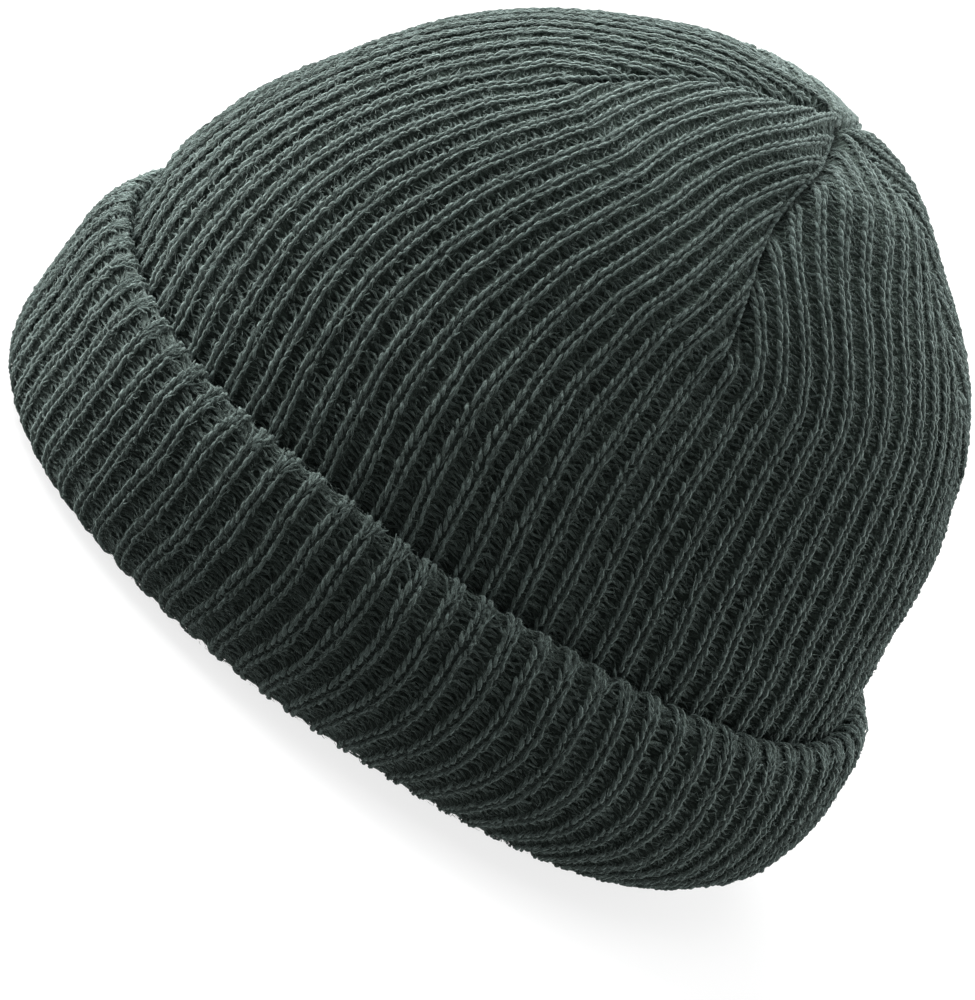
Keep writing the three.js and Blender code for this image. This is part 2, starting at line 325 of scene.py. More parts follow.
class Outline:
    """An outline of squared ovals, tabled by level and by share of the way round."""

    FINE = 24
    SHARES = 720
    LEAST_HALF = 0.02

    def __init__(self, rows: Sequence[Ring]) -> None:
        """Tables the outline.

        Args:
            rows: its levels, from below up.
        """
        index = np.arange(len(rows))
        levels = np.linspace(0, index[-1], self.FINE * index[-1] + 1)
        self.z, front, back, half = (
            Smooth(index, [getattr(r, name) for r in rows])(levels)
            for name in ("z", "front", "back", "half")
        )
        half = np.maximum(half, self.LEAST_HALF)
        a = np.linspace(0, 2 * math.pi, self.SHARES + 1)
        c, s = np.sin(a), -np.cos(a)
        k = (np.abs(c) ** SECTION_POWER + np.abs(s) ** SECTION_POWER) ** (-1 / SECTION_POWER)
        share = np.arange(self.SHARES) / self.SHARES
        table = np.zeros((len(levels), self.SHARES, 3))
        self.total = np.zeros(len(levels))
        for i in range(len(levels)):
            x = half[i] * c * k
            y = (back[i] - front[i]) / 2 + (back[i] + front[i]) / 2 * s * k
            length = np.concatenate([[0], np.cumsum(np.hypot(np.diff(x), np.diff(y)))])
            self.total[i] = length[-1]
            table[i, :, 0] = np.interp(share * length[-1], length, x)
            table[i, :, 1] = np.interp(share * length[-1], length, y)
            table[i, :, 2] = self.z[i]
        self.patch = Patch(table)

    def row_of(self, z: np.ndarray) -> np.ndarray:
        """Row of the table at a height."""
        return np.interp(z, self.z, np.arange(len(self.z)))

    def girth(self, z: np.ndarray) -> np.ndarray:
        """Length of the way round at a height."""
        return np.interp(z, self.z, self.total)


def dents(table: Sequence[Dent], share: np.ndarray, z: np.ndarray) -> np.ndarray:
    """Adds up the soft dents.

    Args:
        table: the dents.
        share: shares of the way round.
        z: heights.

    Returns:
        How far the cloth stands out for them.
    """
    total = np.zeros(np.broadcast(share, z).shape)
    for d in table:
        a = share - d.share
        a = a - np.round(a)
        total = total + d.deep * np.exp(-((a / d.along) ** 2) - ((z - d.z) / d.up) ** 2)
    return total


def dropped(p: np.ndarray) -> np.ndarray:
    """Pulls the cloth near the cuff's top edge down at the front and up at the back.

    Args:
        p: points in millimetres.

    Returns:
        The moved points.
    """
    s = p[..., 1] / HANG_REACH
    z = p[..., 2]
    below = ease((z - HANG_FROM) / (HANG_Z - HANG_FROM))
    above = 1 - ease((z - HANG_Z) / HANG_FADE)
    high = np.where(s < 0, HANG_FRONT, HANG_BACK)
    out = p.copy()
    out[..., 2] += high * s * s * np.where(z <= HANG_Z, below, above)
    return out


@dataclass(frozen=True)
class Place:
    """Where columns lie at their heights.

    These are the gore, the place across it from 0 to 1, the share of the way round, the
    millimetres left to the dart beside it (below zero once the column has ended), how far
    that dart is drawn in, and the height over its foot.
    """

    gore: np.ndarray
    across: np.ndarray
    share: np.ndarray
    left: np.ndarray
    drawn: np.ndarray
    over: np.ndarray


@dataclass(frozen=True)
class Columns:
    """Where the columns of the knit run: odd ones on a rib's back, even ones in a valley."""

    crown: Outline
    lean_from: float = 44.0
    lean_over: float = 64.0
    tip_short: float = 4.0
    girth_short: float = 0.4
    drawn_below: float = 4.0
    drawn_over: float = 12.0

    def _dart(self, index: int, z: np.ndarray) -> tuple[np.ndarray, np.ndarray]:
        """Follows a dart up.

        Args:
            index: number of the dart.
            z: heights.

        Returns:
            Its shares of the way round, and the share of the columns beside it that go on.
        """
        d = DARTS[index % GORES]
        low = mix(d.base, d.foot, ease((z - self.lean_from) / self.lean_over))
        share = mix(low, d.tip, ease((z - d.foot_z) / (TOP - self.tip_short - d.foot_z)))
        now = self.crown.girth(np.minimum(z, TOP - self.girth_short))
        return share, np.where(z <= d.foot_z, 1.0, now / self.crown.girth(d.foot_z))

    def place(self, column: np.ndarray, z: np.ndarray) -> Place:
        """Finds where columns lie.

        Args:
            column: columns, counted round the hat.
            z: heights.

        Returns:
            Their places.
        """
        column, z = np.broadcast_arrays(np.mod(column, COLUMNS), z)
        gore = np.minimum((column // PER_GORE).astype(int), GORES - 1)
        f = (column - gore * PER_GORE) / PER_GORE
        g, share, span, drawn, over = np.zeros((5, *column.shape))
        for k in range(GORES):
            here = gore == k
            if not here.any():
                continue
            zh, fh = z[here], f[here]
            s0, w0 = self._dart(k, zh)
            s1, w1 = self._dart(k + 1, zh)
            s1 = np.where(s1 < s0, s1 + 1, s1)
            mid = w0 / (w0 + w1)
            low = mid * (1 - (1 - 2 * fh) / w0)
            high = mid + (1 - mid) * ((2 * fh - 1) / w1)
            gh = np.where(fh < 0.5, low, high)
            g[here] = gh
            share[here] = mix(s0, s1, np.clip(gh, 0, 1))
            span[here] = (s1 - s0) * self.crown.girth(zh)
            foot = np.where(gh < 0.5, DARTS[k].foot_z, DARTS[(k + 1) % GORES].foot_z)
            drawn[here] = ease((zh - foot + self.drawn_below) / self.drawn_over)
            over[here] = zh - foot
        left = np.minimum(g, 1 - g) * span
        return Place(gore, np.clip(g, 0, 1), share, left, drawn, over)


class Surface:
    """A face of the cloth that takes a column, a row and a height over the ribs' backs."""

    def at(self, column: np.ndarray, row: np.ndarray, out: Number) -> np.ndarray:
        """Points in millimetres."""
        raise NotImplementedError

    def relief(self, row: np.ndarray) -> np.ndarray:
        """Share of the ribs' full depth that a row has."""
        return np.ones(np.shape(row))

    def painted_light_share(self, column: np.ndarray, row: np.ndarray) -> np.ndarray:
        """Share of the yarn's lightness left by painted shade, less where it is pulled into a seam."""
        return np.ones(np.broadcast(column, row).shape)

    def plush_and_top_light(self, row: np.ndarray) -> np.ndarray:
        """How far the valleys are filled with fuzz and lightened by painted top light at a row."""
        return np.zeros(np.shape(row))

    def pitch(self, column: np.ndarray, row: np.ndarray) -> np.ndarray:
        """Width of one column in millimetres."""
        low = self.at(column - 0.5, row, 0.0)
        return np.linalg.norm(self.at(column + 0.5, row, 0.0) - low, axis=-1)

    def course(
        self, column: np.ndarray, row: np.ndarray, out: np.ndarray
    ) -> tuple[np.ndarray, np.ndarray]:
        """Centre lines of strands, and the ways out of the cloth along them."""
        path = self.at(column, row, out)
        return path, unit(self.at(column, row, out + 1.0) - path)


@dataclass
class CrownSurface(Surface):
    """The crown: rows are counted up from the height where the cuff's edge hides it."""

    outline: Outline
    columns: Columns
    start_z: float = 38.0
    belly_from: float = 96.0
    belly_over: float = 30.0
    groove: float = 1.5
    seam: float = 0.95
    # painted shade in the crease of a dart
    seam_painted_shade: float = 0.72
    hole_wide: float = 2.6
    hole_narrow: float = 0.8
    hole_tall: float = 2.8
    hole_up: float = 5.5
    hole_deep: float = 1.6
    # painted shade in the hollow at a dart's foot
    hole_painted_shade: float = 0.95
    plush_from: float = 88.0
    plush_over: float = 56.0
    plush_fill: float = 0.42

    def __post_init__(self) -> None:
        """Measures the cloth's length up the side of the hat."""
        side = self.outline.patch.points[:, self.outline.SHARES // 4]
        length = np.concatenate([[0], np.cumsum(np.linalg.norm(np.diff(side, axis=0), axis=1))])
        start = np.interp(self.outline.row_of(self.start_z), np.arange(len(length)), length)
        self.length = length - start
        self.rows = self.length[-1] / ROW

    def level(self, row: np.ndarray) -> np.ndarray:
        """Row of the outline's table at a row of the knit."""
        return np.interp(np.asarray(row) * ROW, self.length, np.arange(len(self.length)))

    def z_of(self, row: np.ndarray) -> np.ndarray:
        """Height at a row of the knit."""
        return np.interp(np.asarray(row) * ROW, self.length, self.outline.z)

    def place(self, column: np.ndarray, row: np.ndarray) -> Place:
        """Where columns lie at rows of the knit."""
        return self.columns.place(column, self.z_of(row))

    def relief(self, row: np.ndarray) -> np.ndarray:
        """Share of the ribs' full depth, less where fuzz fills the valleys."""
        return 1.0 - self.plush_fill * self.plush_and_top_light(row)

    def plush_and_top_light(self, row: np.ndarray) -> np.ndarray:
        """How far the valleys are filled with fuzz and lightened by painted top light, more towards the
        tip.
        """
        return ease((self.z_of(row) - self.plush_from) / self.plush_over)

    def hole(self, place: Place) -> np.ndarray:
        """How far places lie in the small hollow beside a dart's foot.

        Args:
            place: the places.

        Returns:
            1 in the hollow, falling to 0 round it.
        """
        wide = np.where(place.across < 0.5, self.hole_wide, self.hole_narrow)
        aside = np.maximum(place.left, 0) / wide
        return np.exp(-(aside**4) - ((place.over - self.hole_up) / self.hole_tall) ** 4)

    def painted_light_share(self, column: np.ndarray, row: np.ndarray) -> np.ndarray:
        """Paints shade on the yarn in the seams and the hollows.

        Args:
            column: columns.
            row: rows of the knit.

        Returns:
            Shares of the yarn's lightness left by the painted shade.
        """
        place = self.place(column, row)
        near = np.exp(-((np.maximum(place.left, 0) / self.seam) ** 2))
        hole = self.hole(place)
        # painted shade in the seam's crease and in the hollow
        return (1.0 - self.seam_painted_shade * place.drawn * near) * (1.0 - self.hole_painted_shade * hole)

    def swell(self, place: Place, z: np.ndarray, level: np.ndarray) -> np.ndarray:
        """Shapes the gores, darts and dents.

        Args:
            place: where the columns lie.
            z: heights.
            level: rows of the outline's table.

        Returns:
            How far the cloth stands out of the plain outline.
        """
        arc = np.sin(math.pi * place.across)
        out = np.take(GORE_BELLY, place.gore) * arc * ease((z - self.belly_from) / self.belly_over)
        near = (level / self.outline.FINE - SHOULDER_ROW) / SHOULDER_REACH
        out = out + np.take(GORE_SHOULDER, place.gore) * arc * np.exp(-(near**2))
        fold = np.exp(-((np.maximum(place.left, 0) / self.groove) ** 2))
        out = out + dents(CROWN_DENTS, place.share, z)
        return out - np.maximum(DART_DEPTH * place.drawn * fold, self.hole_deep * self.hole(place))

    def at(self, column: np.ndarray, row: np.ndarray, out: Number) -> np.ndarray:
        """Finds points on or near the crown.

        Args:
            column: columns.
            row: rows of the knit.
            out: heights over the ribs' backs.

        Returns:
            Points in millimetres.
        """
        column, row = np.broadcast_arrays(np.asarray(column, float), np.asarray(row, float))
        level = self.level(row)
        z = self.z_of(row)
        place = self.columns.place(column, z)
        p = self.outline.patch.point(level, place.share)
        n = self.outline.patch.normal(level, place.share)
        return dropped(p + n * (self.swell(place, z, level) + out)[..., None])


@dataclass
class CuffSurface(Surface):
    """The cuff's face: rows run from under the rim up the outside and over the edge."""

    cuff: Outline
    crown: Outline
    columns: Columns
    places: int = 1200
    columns_z: float = 40.0
    wave_z: float = 45.0
    waves: tuple[tuple[float, float, float], ...] = ((0.5, 7.0, 0.2), (0.4, 11.0, 0.6))
    lowest: float = 0.05

    def __post_init__(self) -> None:
        """Tables the face from the corners of its section."""
        column = np.arange(self.places) / self.places * COLUMNS
        keys = np.stack([self._corner(column, corner) for corner in CUFF_SECTION])
        steps = np.linalg.norm(np.diff(keys, axis=0), axis=2).mean(axis=1)
        length = np.concatenate([[0], np.cumsum(steps)])
        self.rows = length[-1] / ROW
        self.corner_rows = length / ROW
        fine = np.linspace(0, length[-1], int(length[-1] * 2) + 1)
        self.patch = Patch(Smooth(length, keys)(fine))
        self.per_row = (len(fine) - 1) / self.rows

    def wave(self, share: np.ndarray) -> np.ndarray:
        """Soft waves of the top edge's height at shares of the way round."""
        turn = 2 * math.pi
        return sum(high * np.sin(turn * (share * times + at)) for high, times, at in self.waves)

    def _corner(self, column: np.ndarray, corner: Corner) -> np.ndarray:
        """Takes a corner of the section round the hat.

        Args:
            column: columns.
            corner: the corner.

        Returns:
            Points in millimetres.
        """
        if corner.follows is Follows.BETWEEN:
            outer = self._corner(column, replace(corner, follows=Follows.CUFF, inside=0.0))
            inner = self._corner(column, replace(corner, follows=Follows.CROWN, inside=-SEAT))
            return mix(outer, inner, corner.inside)
        z = np.full(column.shape, corner.z)
        if corner.follows is Follows.CROWN:
            outline, table, wave = self.crown, CROWN_DENTS, 0.0
            share = self.columns.place(column, z).share
            n = outline.patch.normal(outline.row_of(z), share)
        else:
            outline, table = self.cuff, CUFF_DENTS
            share = self.columns.place(column, np.full(column.shape, self.columns_z)).share
            level_only = (1.0, 1.0, 0.0)
            n = unit(outline.patch.normal(outline.row_of(z), share) * level_only)
            wave = self.wave(share) if corner.z > self.wave_z else 0.0
        p = outline.patch.point(outline.row_of(z), share)
        p = p + n * (dents(table, share, z) - corner.inside)[..., None]
        p[..., 2] = corner.z + wave
        return dropped(p)

    def relief(self, row: np.ndarray) -> np.ndarray:
        """Share of the ribs' full depth, less under the rim and at the edge."""
        return np.interp(row, self.corner_rows, [c.rib for c in CUFF_SECTION])

    def row_at(self, corner: int) -> float:
        """Row of the knit at a corner of the section."""
        return float(self.corner_rows[corner])

    def at(self, column: np.ndarray, row: np.ndarray, out: Number) -> np.ndarray:
        """Finds points on or near the cuff, never under the floor.

        Args:
            column: columns.
            row: rows of the knit.
            out: heights over the ribs' backs.

        Returns:
            Points in millimetres.
        """
        column, row = np.broadcast_arrays(np.asarray(column, float), np.asarray(row, float))
        r = row * self.per_row
        s = column / COLUMNS
        out = out + np.zeros(column.shape)
        p = self.patch.point(r, s) + self.patch.normal(r, s) * out[..., None]
        p[..., 2] = np.maximum(p[..., 2], self.lowest)
        return p


# Meshes from arrays


class ArrayMesh:
    """Makes an object from arrays of corners and four-sided faces."""

    @staticmethod
    def build(
        name: str,
        points: np.ndarray,
        faces: np.ndarray,
        uv: np.ndarray,
        shade: np.ndarray,
    ) -> bpy.types.Object:
        """Makes one smooth mesh object.

        Args:
            name: name of the piece.
            points: corners in millimetres, n x 3.
            faces: corner numbers, m x 4.
            uv: place on the cloth of each corner, n x 2.
            shade: lightness of each corner, n.

        Returns:
            The linked object.
        """
        mesh = bpy.data.meshes.new(name)
        count = len(faces)
        mesh.vertices.add(len(points))
        mesh.vertices.foreach_set("co", (points * MM).astype(np.float32).ravel())
        mesh.loops.add(count * 4)
        mesh.loops.foreach_set("vertex_index", faces.astype(np.int32).ravel())
        mesh.polygons.add(count)
        mesh.polygons.foreach_set("loop_start", np.arange(count, dtype=np.int32) * 4)
        mesh.polygons.foreach_set("use_smooth", np.ones(count, bool))
        layer = mesh.uv_layers.new(name="cloth")
        layer.data.foreach_set("uv", uv[faces.ravel()].astype(np.float32).ravel())
        tone = mesh.attributes.new("shade", "FLOAT", "POINT")
        tone.data.foreach_set("value", shade.astype(np.float32))
        mesh.update(calc_edges=True)
        mesh.validate()
        obj = bpy.data.objects.new(name, mesh)
        bpy.context.scene.collection.objects.link(obj)
        return obj


@dataclass
class Strands:
    """Short yarn strands, gathered and made as one mesh.

    A strand is an arch over its line, open underneath where the cloth hides it; an arch of
    two corners is a flat ribbon.
    """

    corners: int = 4
    droop: float = 0.35
    shift: float = 7.31
    lowest: float = 0.02
    points: list[np.ndarray] = field(default_factory=list)
    faces: list[np.ndarray] = field(default_factory=list)
    uvs: list[np.ndarray] = field(default_factory=list)
    shades: list[np.ndarray] = field(default_factory=list)
    count: int = 0

    def add(self, path: np.ndarray, out: np.ndarray, radius: np.ndarray, shade: np.ndarray) -> None:
        """Adds strands.

        Args:
            path: centre lines, strands x rings x 3.
            out: ways out of the cloth, the same shape.
            radius: strands x rings.
            shade: lightness, strands x rings.
        """
        n, k = path.shape[:2]
        if n == 0:
            return
        along = unit(np.gradient(path, axis=1))
        side = unit(np.cross(along, out))
        up = np.cross(side, along)
        droop = 0.0 if self.corners == 2 else self.droop
        turn = np.linspace(-droop, math.pi + droop, self.corners)
        ring = (
            side[:, :, None, :] * np.cos(turn)[None, None, :, None]
            + up[:, :, None, :] * np.sin(turn)[None, None, :, None]
        )
        points = path[:, :, None, :] + ring * radius[:, :, None, None]
        index = np.arange(n * k * self.corners).reshape(n, k, self.corners)
        quads = np.stack(
            [index[:, :-1, :-1], index[:, :-1, 1:], index[:, 1:, 1:], index[:, 1:, :-1]], axis=-1
        )
        step = np.linalg.norm(np.diff(path, axis=1), axis=2)
        length = np.concatenate([np.zeros((n, 1)), np.cumsum(step, axis=1)], axis=1)
        uv = np.zeros((n, k, self.corners, 2))
        uv[..., 0] = turn[None, None, :] * radius[:, :, None]
        uv[..., 1] = (length + np.arange(n)[:, None] * self.shift)[:, :, None]
        self.points.append(points.reshape(-1, 3))
        self.faces.append(quads.reshape(-1, 4) + self.count)
        self.uvs.append(uv.reshape(-1, 2))
        self.shades.append(np.repeat(shade.reshape(-1), self.corners))
        self.count += n * k * self.corners

    def take(self, other: "Strands") -> None:
        """Takes over the strands of another gathering.

        Args:
            other: the gathering.
        """
        self.points += other.points
        self.faces += [f + self.count for f in other.faces]
        self.uvs += other.uvs
        self.shades += other.shades
        self.count += other.count

    def build(self, name: str) -> bpy.types.Object:
        """Makes the mesh object.

        Args:
            name: name of the piece.

        Returns:
            The linked object.
        """
        points, faces, uv, shade = (
            np.concatenate(part) for part in (self.points, self.faces, self.uvs, self.shades)
        )
        points[:, 2] = np.maximum(points[:, 2], self.lowest)
        return ArrayMesh.build(name, points, faces, uv, shade)


@dataclass(frozen=True)
class Knot:
    """A point of a strand: columns across, rows up, height over the cloth, share of radius, which also
    sets the painted shade at the strand's ends.
    """

    across: float
    up: float
    out: float
    thick: float


@dataclass(frozen=True)
class Stitch:
    """The course of one kind of strand and how much it varies.

    Radius is in millimetres and tone is its lightness. Stray is how far whole strands differ,
    toss how much their tone does, and wobble how far single knots are off.
    """

    # Shares of the stray that move a strand or a knot sideways, along the rib and up
    ASIDE = 0.16
    ASIDE_KNOT = 0.05
    ALONG = 0.5
    LIFT = 0.6
    TOSS_KNOT = 0.6  # share of the toss for a single knot
    USUAL_PITCH = 3.8  # width of a column where the radius is as given
    SLIMMEST = 0.72
    WIDEST = 1.05
    UNEVEN = 0.12  # spread of the radius among strands
    UNEVEN_KNOT = 0.07  # and along one
    PLUSH_RADIUS = 0.28  # thicker where fuzz fills the valleys
    DEEP = 2.6  # depth where the painted shade of a valley is full
    # share of a valley strand's tone taken by the painted shade at full depth
    DEEP_PAINTED_SHADE = 0.45
    # Painted shade at a strand's ends, where it dips out of sight: the tone kept at a thin end, and
    # what its full thickness adds
    END_SHADE_TONE = 0.18
    END_SHADE_GAIN = 0.82

    knots: tuple[Knot, ...]
    radius: float
    stray: float
    tone: float
    toss: float
    wobble: float = 0.0

    def table(self) -> np.ndarray:
        """The knots' numbers as four rows: across, up, out, thick."""
        return np.array([astuple(k) for k in self.knots]).T[:, None, :]

    def lay(
        self,
        surface: Surface,
        column: np.ndarray,
        row: np.ndarray,
        mirror: float,
        rng: np.random.Generator,
        strands: Strands,
    ) -> None:
        """Lays a strand at each column and row.

        Args:
            surface: face of the cloth.
            column: columns of the rib or valley middles.
            row: rows of the stitches.
            mirror: 1, or -1 for the strand on the other side.
            rng: source of the small differences.
            strands: where the strands are gathered.
        """
        each, every = (len(column), 1), (len(column), len(self.knots))
        across, up, out, thick = self.table()
        c = column[:, None] + across * mirror * rng.normal(1, self.stray, each)
        c = c + rng.normal(0, self.stray * self.ASIDE, each)
        c = c + rng.normal(0, self.stray * self.ASIDE_KNOT, every)
        r = row[:, None] + up * rng.normal(1, self.stray, each)
        r = r + rng.normal(0, self.stray * self.ALONG, each)
        r = r + rng.normal(0, 1, every) * self.wobble
        h = out + rng.normal(0, self.stray * self.LIFT, each) + rng.normal(0, 1, every) * self.wobble
        h = h * surface.relief(r)
        path, away = surface.course(c, r, h)
        plush_and_top_light = surface.plush_and_top_light(r)
        slim = np.clip(surface.pitch(column, row) / self.USUAL_PITCH, self.SLIMMEST, self.WIDEST)
        radius = self.radius * thick * slim[:, None]
        radius = radius * rng.normal(1, self.UNEVEN, each) * rng.normal(1, self.UNEVEN_KNOT, every)
        radius = radius * (1.0 + self.PLUSH_RADIUS * plush_and_top_light)
        shade = self.tone + rng.normal(0, self.toss, each)
        shade = shade + rng.normal(0, self.toss * self.TOSS_KNOT, every)
        # painted shade: darker at a strand's thin ends where it dips under the cloth, and in the seams
        # and hollows
        shade = shade * (self.END_SHADE_TONE + self.END_SHADE_GAIN * thick) * surface.painted_light_share(c, r)
        # painted shade: valley strands darker the deeper they lie, less where fuzz and painted top
        # light fill them
        deep = np.clip(-h / self.DEEP, 0.0, 1.0)
        strands.add(path, away, radius, shade * (1.0 - self.DEEP_PAINTED_SHADE * deep * (1.0 - plush_and_top_light)))


LEG_SLANT = Stitch(
    knots=(
        Knot(0.11, -0.32, -1.05, 0.34),
        Knot(0.17, 0.02, -0.46, 0.90),
        Knot(0.27, 0.44, -0.10, 1.10),
        Knot(0.37, 0.88, -0.34, 0.92),
        Knot(0.42, 1.24, -1.00, 0.34),
    ),
    radius=0.43,
    stray=0.12,
    tone=1.05,
    toss=0.15,
    wobble=0.08,
)
LEG_UPRIGHT = Stitch(
    knots=(
        Knot(0.39, -0.36, -0.95, 0.38),
        Knot(0.35, 0.00, -0.44, 0.90),
        Knot(0.27, 0.44, -0.12, 1.05),
        Knot(0.21, 0.88, -0.30, 0.93),
        Knot(0.20, 1.28, -0.90, 0.38),
    ),
    radius=0.40,
    stray=0.12,
    tone=1.02,
    toss=0.15,
    wobble=0.08,
)
RUNG_LOW = Stitch(
    knots=(
        Knot(0.34, -0.04, -1.30, 0.5),
        Knot(0.70, 0.20, -1.75, 1.2),
        Knot(1.10, 0.04, -2.15, 1.0),
        Knot(1.62, -0.26, -2.75, 0.4),
    ),
    radius=0.29,
    stray=0.18,
    tone=0.78,
    toss=0.20,
    wobble=0.11,
)
RUNG_HIGH = Stitch(
    knots=(
        Knot(0.40, 0.40, -2.60, 0.4),
        Knot(0.84, 0.56, -2.20, 1.0),
        Knot(1.26, 0.70, -1.80, 1.2),
        Knot(1.68, 0.44, -1.30, 0.5),
    ),
    radius=0.27,
    stray=0.18,
    tone=0.70,
    toss=0.20,
    wobble=0.11,
)
WISP = Stitch(
    knots=(
        Knot(0.38, 0.35, -0.70, 0.7),
        Knot(0.80, 0.10, -1.45, 1.0),
        Knot(1.25, 0.25, -1.25, 1.0),
        Knot(1.62, -0.05, -0.70, 0.6),
    ),
    radius=0.10,
    stray=0.40,
    tone=0.60,
    toss=0.25,
    wobble=0.36,
)
PLY = Stitch(
    knots=(
        Knot(0.18, -0.20, -0.45, 0.6),
        Knot(0.24, 0.22, 0.05, 1.0),
        Knot(0.32, 0.66, 0.10, 1.0),
        Knot(0.38, 1.12, -0.35, 0.6),
    ),
    radius=0.12,
    stray=0.28,
    tone=1.06,
    toss=0.25,
    wobble=0.15,
)
BRIDGE = Stitch(
    knots=(
        Knot(-0.24, 0.02, -0.52, 0.8),
        Knot(0.02, 0.18, -0.62, 1.0),
        Knot(0.24, 0.30, -0.52, 0.8),
    ),
    radius=0.17,
    stray=0.60,
    tone=0.50,
    toss=0.25,
    wobble=0.20,
)
EDGE_STRAND = Stitch(
    knots=(
        Knot(0.10, 0.00, -0.70, 0.6),
        Knot(0.55, -0.16, -1.60, 1.0),
        Knot(1.00, -0.26, -2.00, 1.1),
        Knot(1.45, -0.16, -1.60, 1.0),
        Knot(1.90, 0.00, -0.70, 0.6),
    ),
    radius=0.28,
    stray=0.20,
    tone=0.80,
    toss=0.22,
    wobble=0.18,
)
TIP_STRAND = Stitch(
    knots=(
        Knot(0.10, -0.80, -0.20, 0.6),
        Knot(0.20, -0.30, 0.10, 1.0),
        Knot(0.32, 0.25, 0.10, 1.1),
        Knot(0.46, 0.75, -0.20, 0.6),
    ),
    radius=0.21,
    stray=0.55,
    tone=1.20,
    toss=0.22,
    wobble=0.22,
)

# The rope along a dart. Here across is millimetres from the dart.
SEAM_ROPE = Stitch(
    knots=(
        Knot(1.25, -0.20, -0.70, 0.50),
        Knot(1.10, 0.15, 0.10, 1.00),
        Knot(0.90, 0.50, 0.45, 1.15),
        Knot(0.75, 0.85, 0.20, 0.95),
        Knot(0.65, 1.20, -0.70, 0.45),
    ),
    radius=0.44,
    stray=0.10,
    tone=1.0,
    toss=0.15,
)


@dataclass(frozen=True)
class Fuzz:
    """Loose fibres that stand off the ribs: how many a stitch has, their length, rise and radius."""

    ASIDE = (0.42, 0.26)  # middle and spread of a root's columns from the rib
    SHORTEST = 0.35  # shares of the length and the rise that the least fibres have
    FLATTEST = 0.1
    BEND = 0.9  # spread of the bend, in radians
    ROOT = -0.45
    STEPS = (0.0, 0.5, 1.0)
    RISES = (0.3, 0.85, 1.0)
    THICK = (1.0, 0.9, 0.4)
    UNEVEN = (0.7, 1.3)
    TONE = (0.85, 0.2)

    share: float
    length: float = 1.9
    rise: float = 0.75
    radius: float = 0.055

    def lay(
        self,
        surface: Surface,
        column: np.ndarray,
        row: np.ndarray,
        rng: np.random.Generator,
        strands: Strands,
    ) -> None:
        """Lays fibres near the given stitches.

        Args:
            surface: face of the cloth.
            column: columns of the stitches.
            row: rows of the stitches.
            rng: source of the places and the small differences.
            strands: where the fibres are gathered.
        """
        count = int(len(column) * self.share)
        pick = rng.integers(0, len(column), count)
        side = rng.choice((-1.0, 1.0), count)
        c = column[pick] + side * rng.normal(*self.ASIDE, count)
        r = row[pick] + rng.uniform(0, 1, count)
        angle = rng.uniform(0, 2 * math.pi, count)
        reach = self.length * rng.uniform(self.SHORTEST, 1.0, count)
        bend = rng.normal(0, self.BEND, count)
        lift = self.rise * rng.uniform(self.FLATTEST, 1.0, count)
        steps = np.array(self.STEPS)
        turned = angle[:, None] + bend[:, None] * steps
        each = np.diff(steps, prepend=0.0)
        cc = c[:, None] + np.cumsum(np.cos(turned) * each, axis=1) * reach[:, None] / COLUMN
        rr = r[:, None] + np.cumsum(np.sin(turned) * each, axis=1) * reach[:, None] / ROW
        h = self.ROOT + lift[:, None] * np.array(self.RISES)
        path, away = surface.course(cc, rr, h * surface.relief(rr))
        radius = self.radius * np.array(self.THICK)[None, :] * rng.uniform(*self.UNEVEN, (count, 1))
        shade = np.repeat(rng.normal(*self.TONE, (count, 1)), len(steps), axis=1)
        strands.add(path, away, radius, shade)


RIB_FUZZ = Fuzz(4.0)
EDGE_FUZZ = Fuzz(6.0, 2.6, 1.1)


# Shader maths


class Socket:
    """A shader value that takes the usual arithmetic signs."""

    def __init__(self, graph: "Graph", socket: bpy.types.NodeSocket) -> None:
        """Keeps the graph and the output that gives the value."""
        self.graph = graph
        self.socket = socket

    def __add__(self, other: "Socket | float") -> "Socket":
        """Sum."""
        return self.graph.maths("ADD", self, other)

    def __radd__(self, other: float) -> "Socket":
        """Sum with a plain number first."""
        return self.graph.maths("ADD", other, self)

    def __sub__(self, other: "Socket | float") -> "Socket":
        """Difference."""
        return self.graph.maths("SUBTRACT", self, other)

    def __rsub__(self, other: float) -> "Socket":
        """Difference from a plain number."""
        return self.graph.maths("SUBTRACT", other, self)

    def __mul__(self, other: "Socket | float") -> "Socket":
        """Product."""
        return self.graph.maths("MULTIPLY", self, other)

    def __rmul__(self, other: float) -> "Socket":
        """Product with a plain number first."""
        return self.graph.maths("MULTIPLY", other, self)

    def distance(self) -> "Socket":
        """Value without its sign."""
        return self.graph.maths("ABSOLUTE", self)

    def fraction(self) -> "Socket":
        """Part after the point."""
        return self.graph.maths("FRACT", self)

    def between(self, low: float, high: float) -> "Socket":
        """Smooth step of the value.

        Args:
            low: value where the step starts.
            high: value where it ends.

        Returns:
            0 to 1.
        """
        node = self.graph.node(
            "ShaderNodeMapRange",
            {"interpolation_type": "SMOOTHSTEP"},
            {"Value": self, "From Min": low, "From Max": high},
        )
        return Socket(self.graph, node.outputs["Result"])


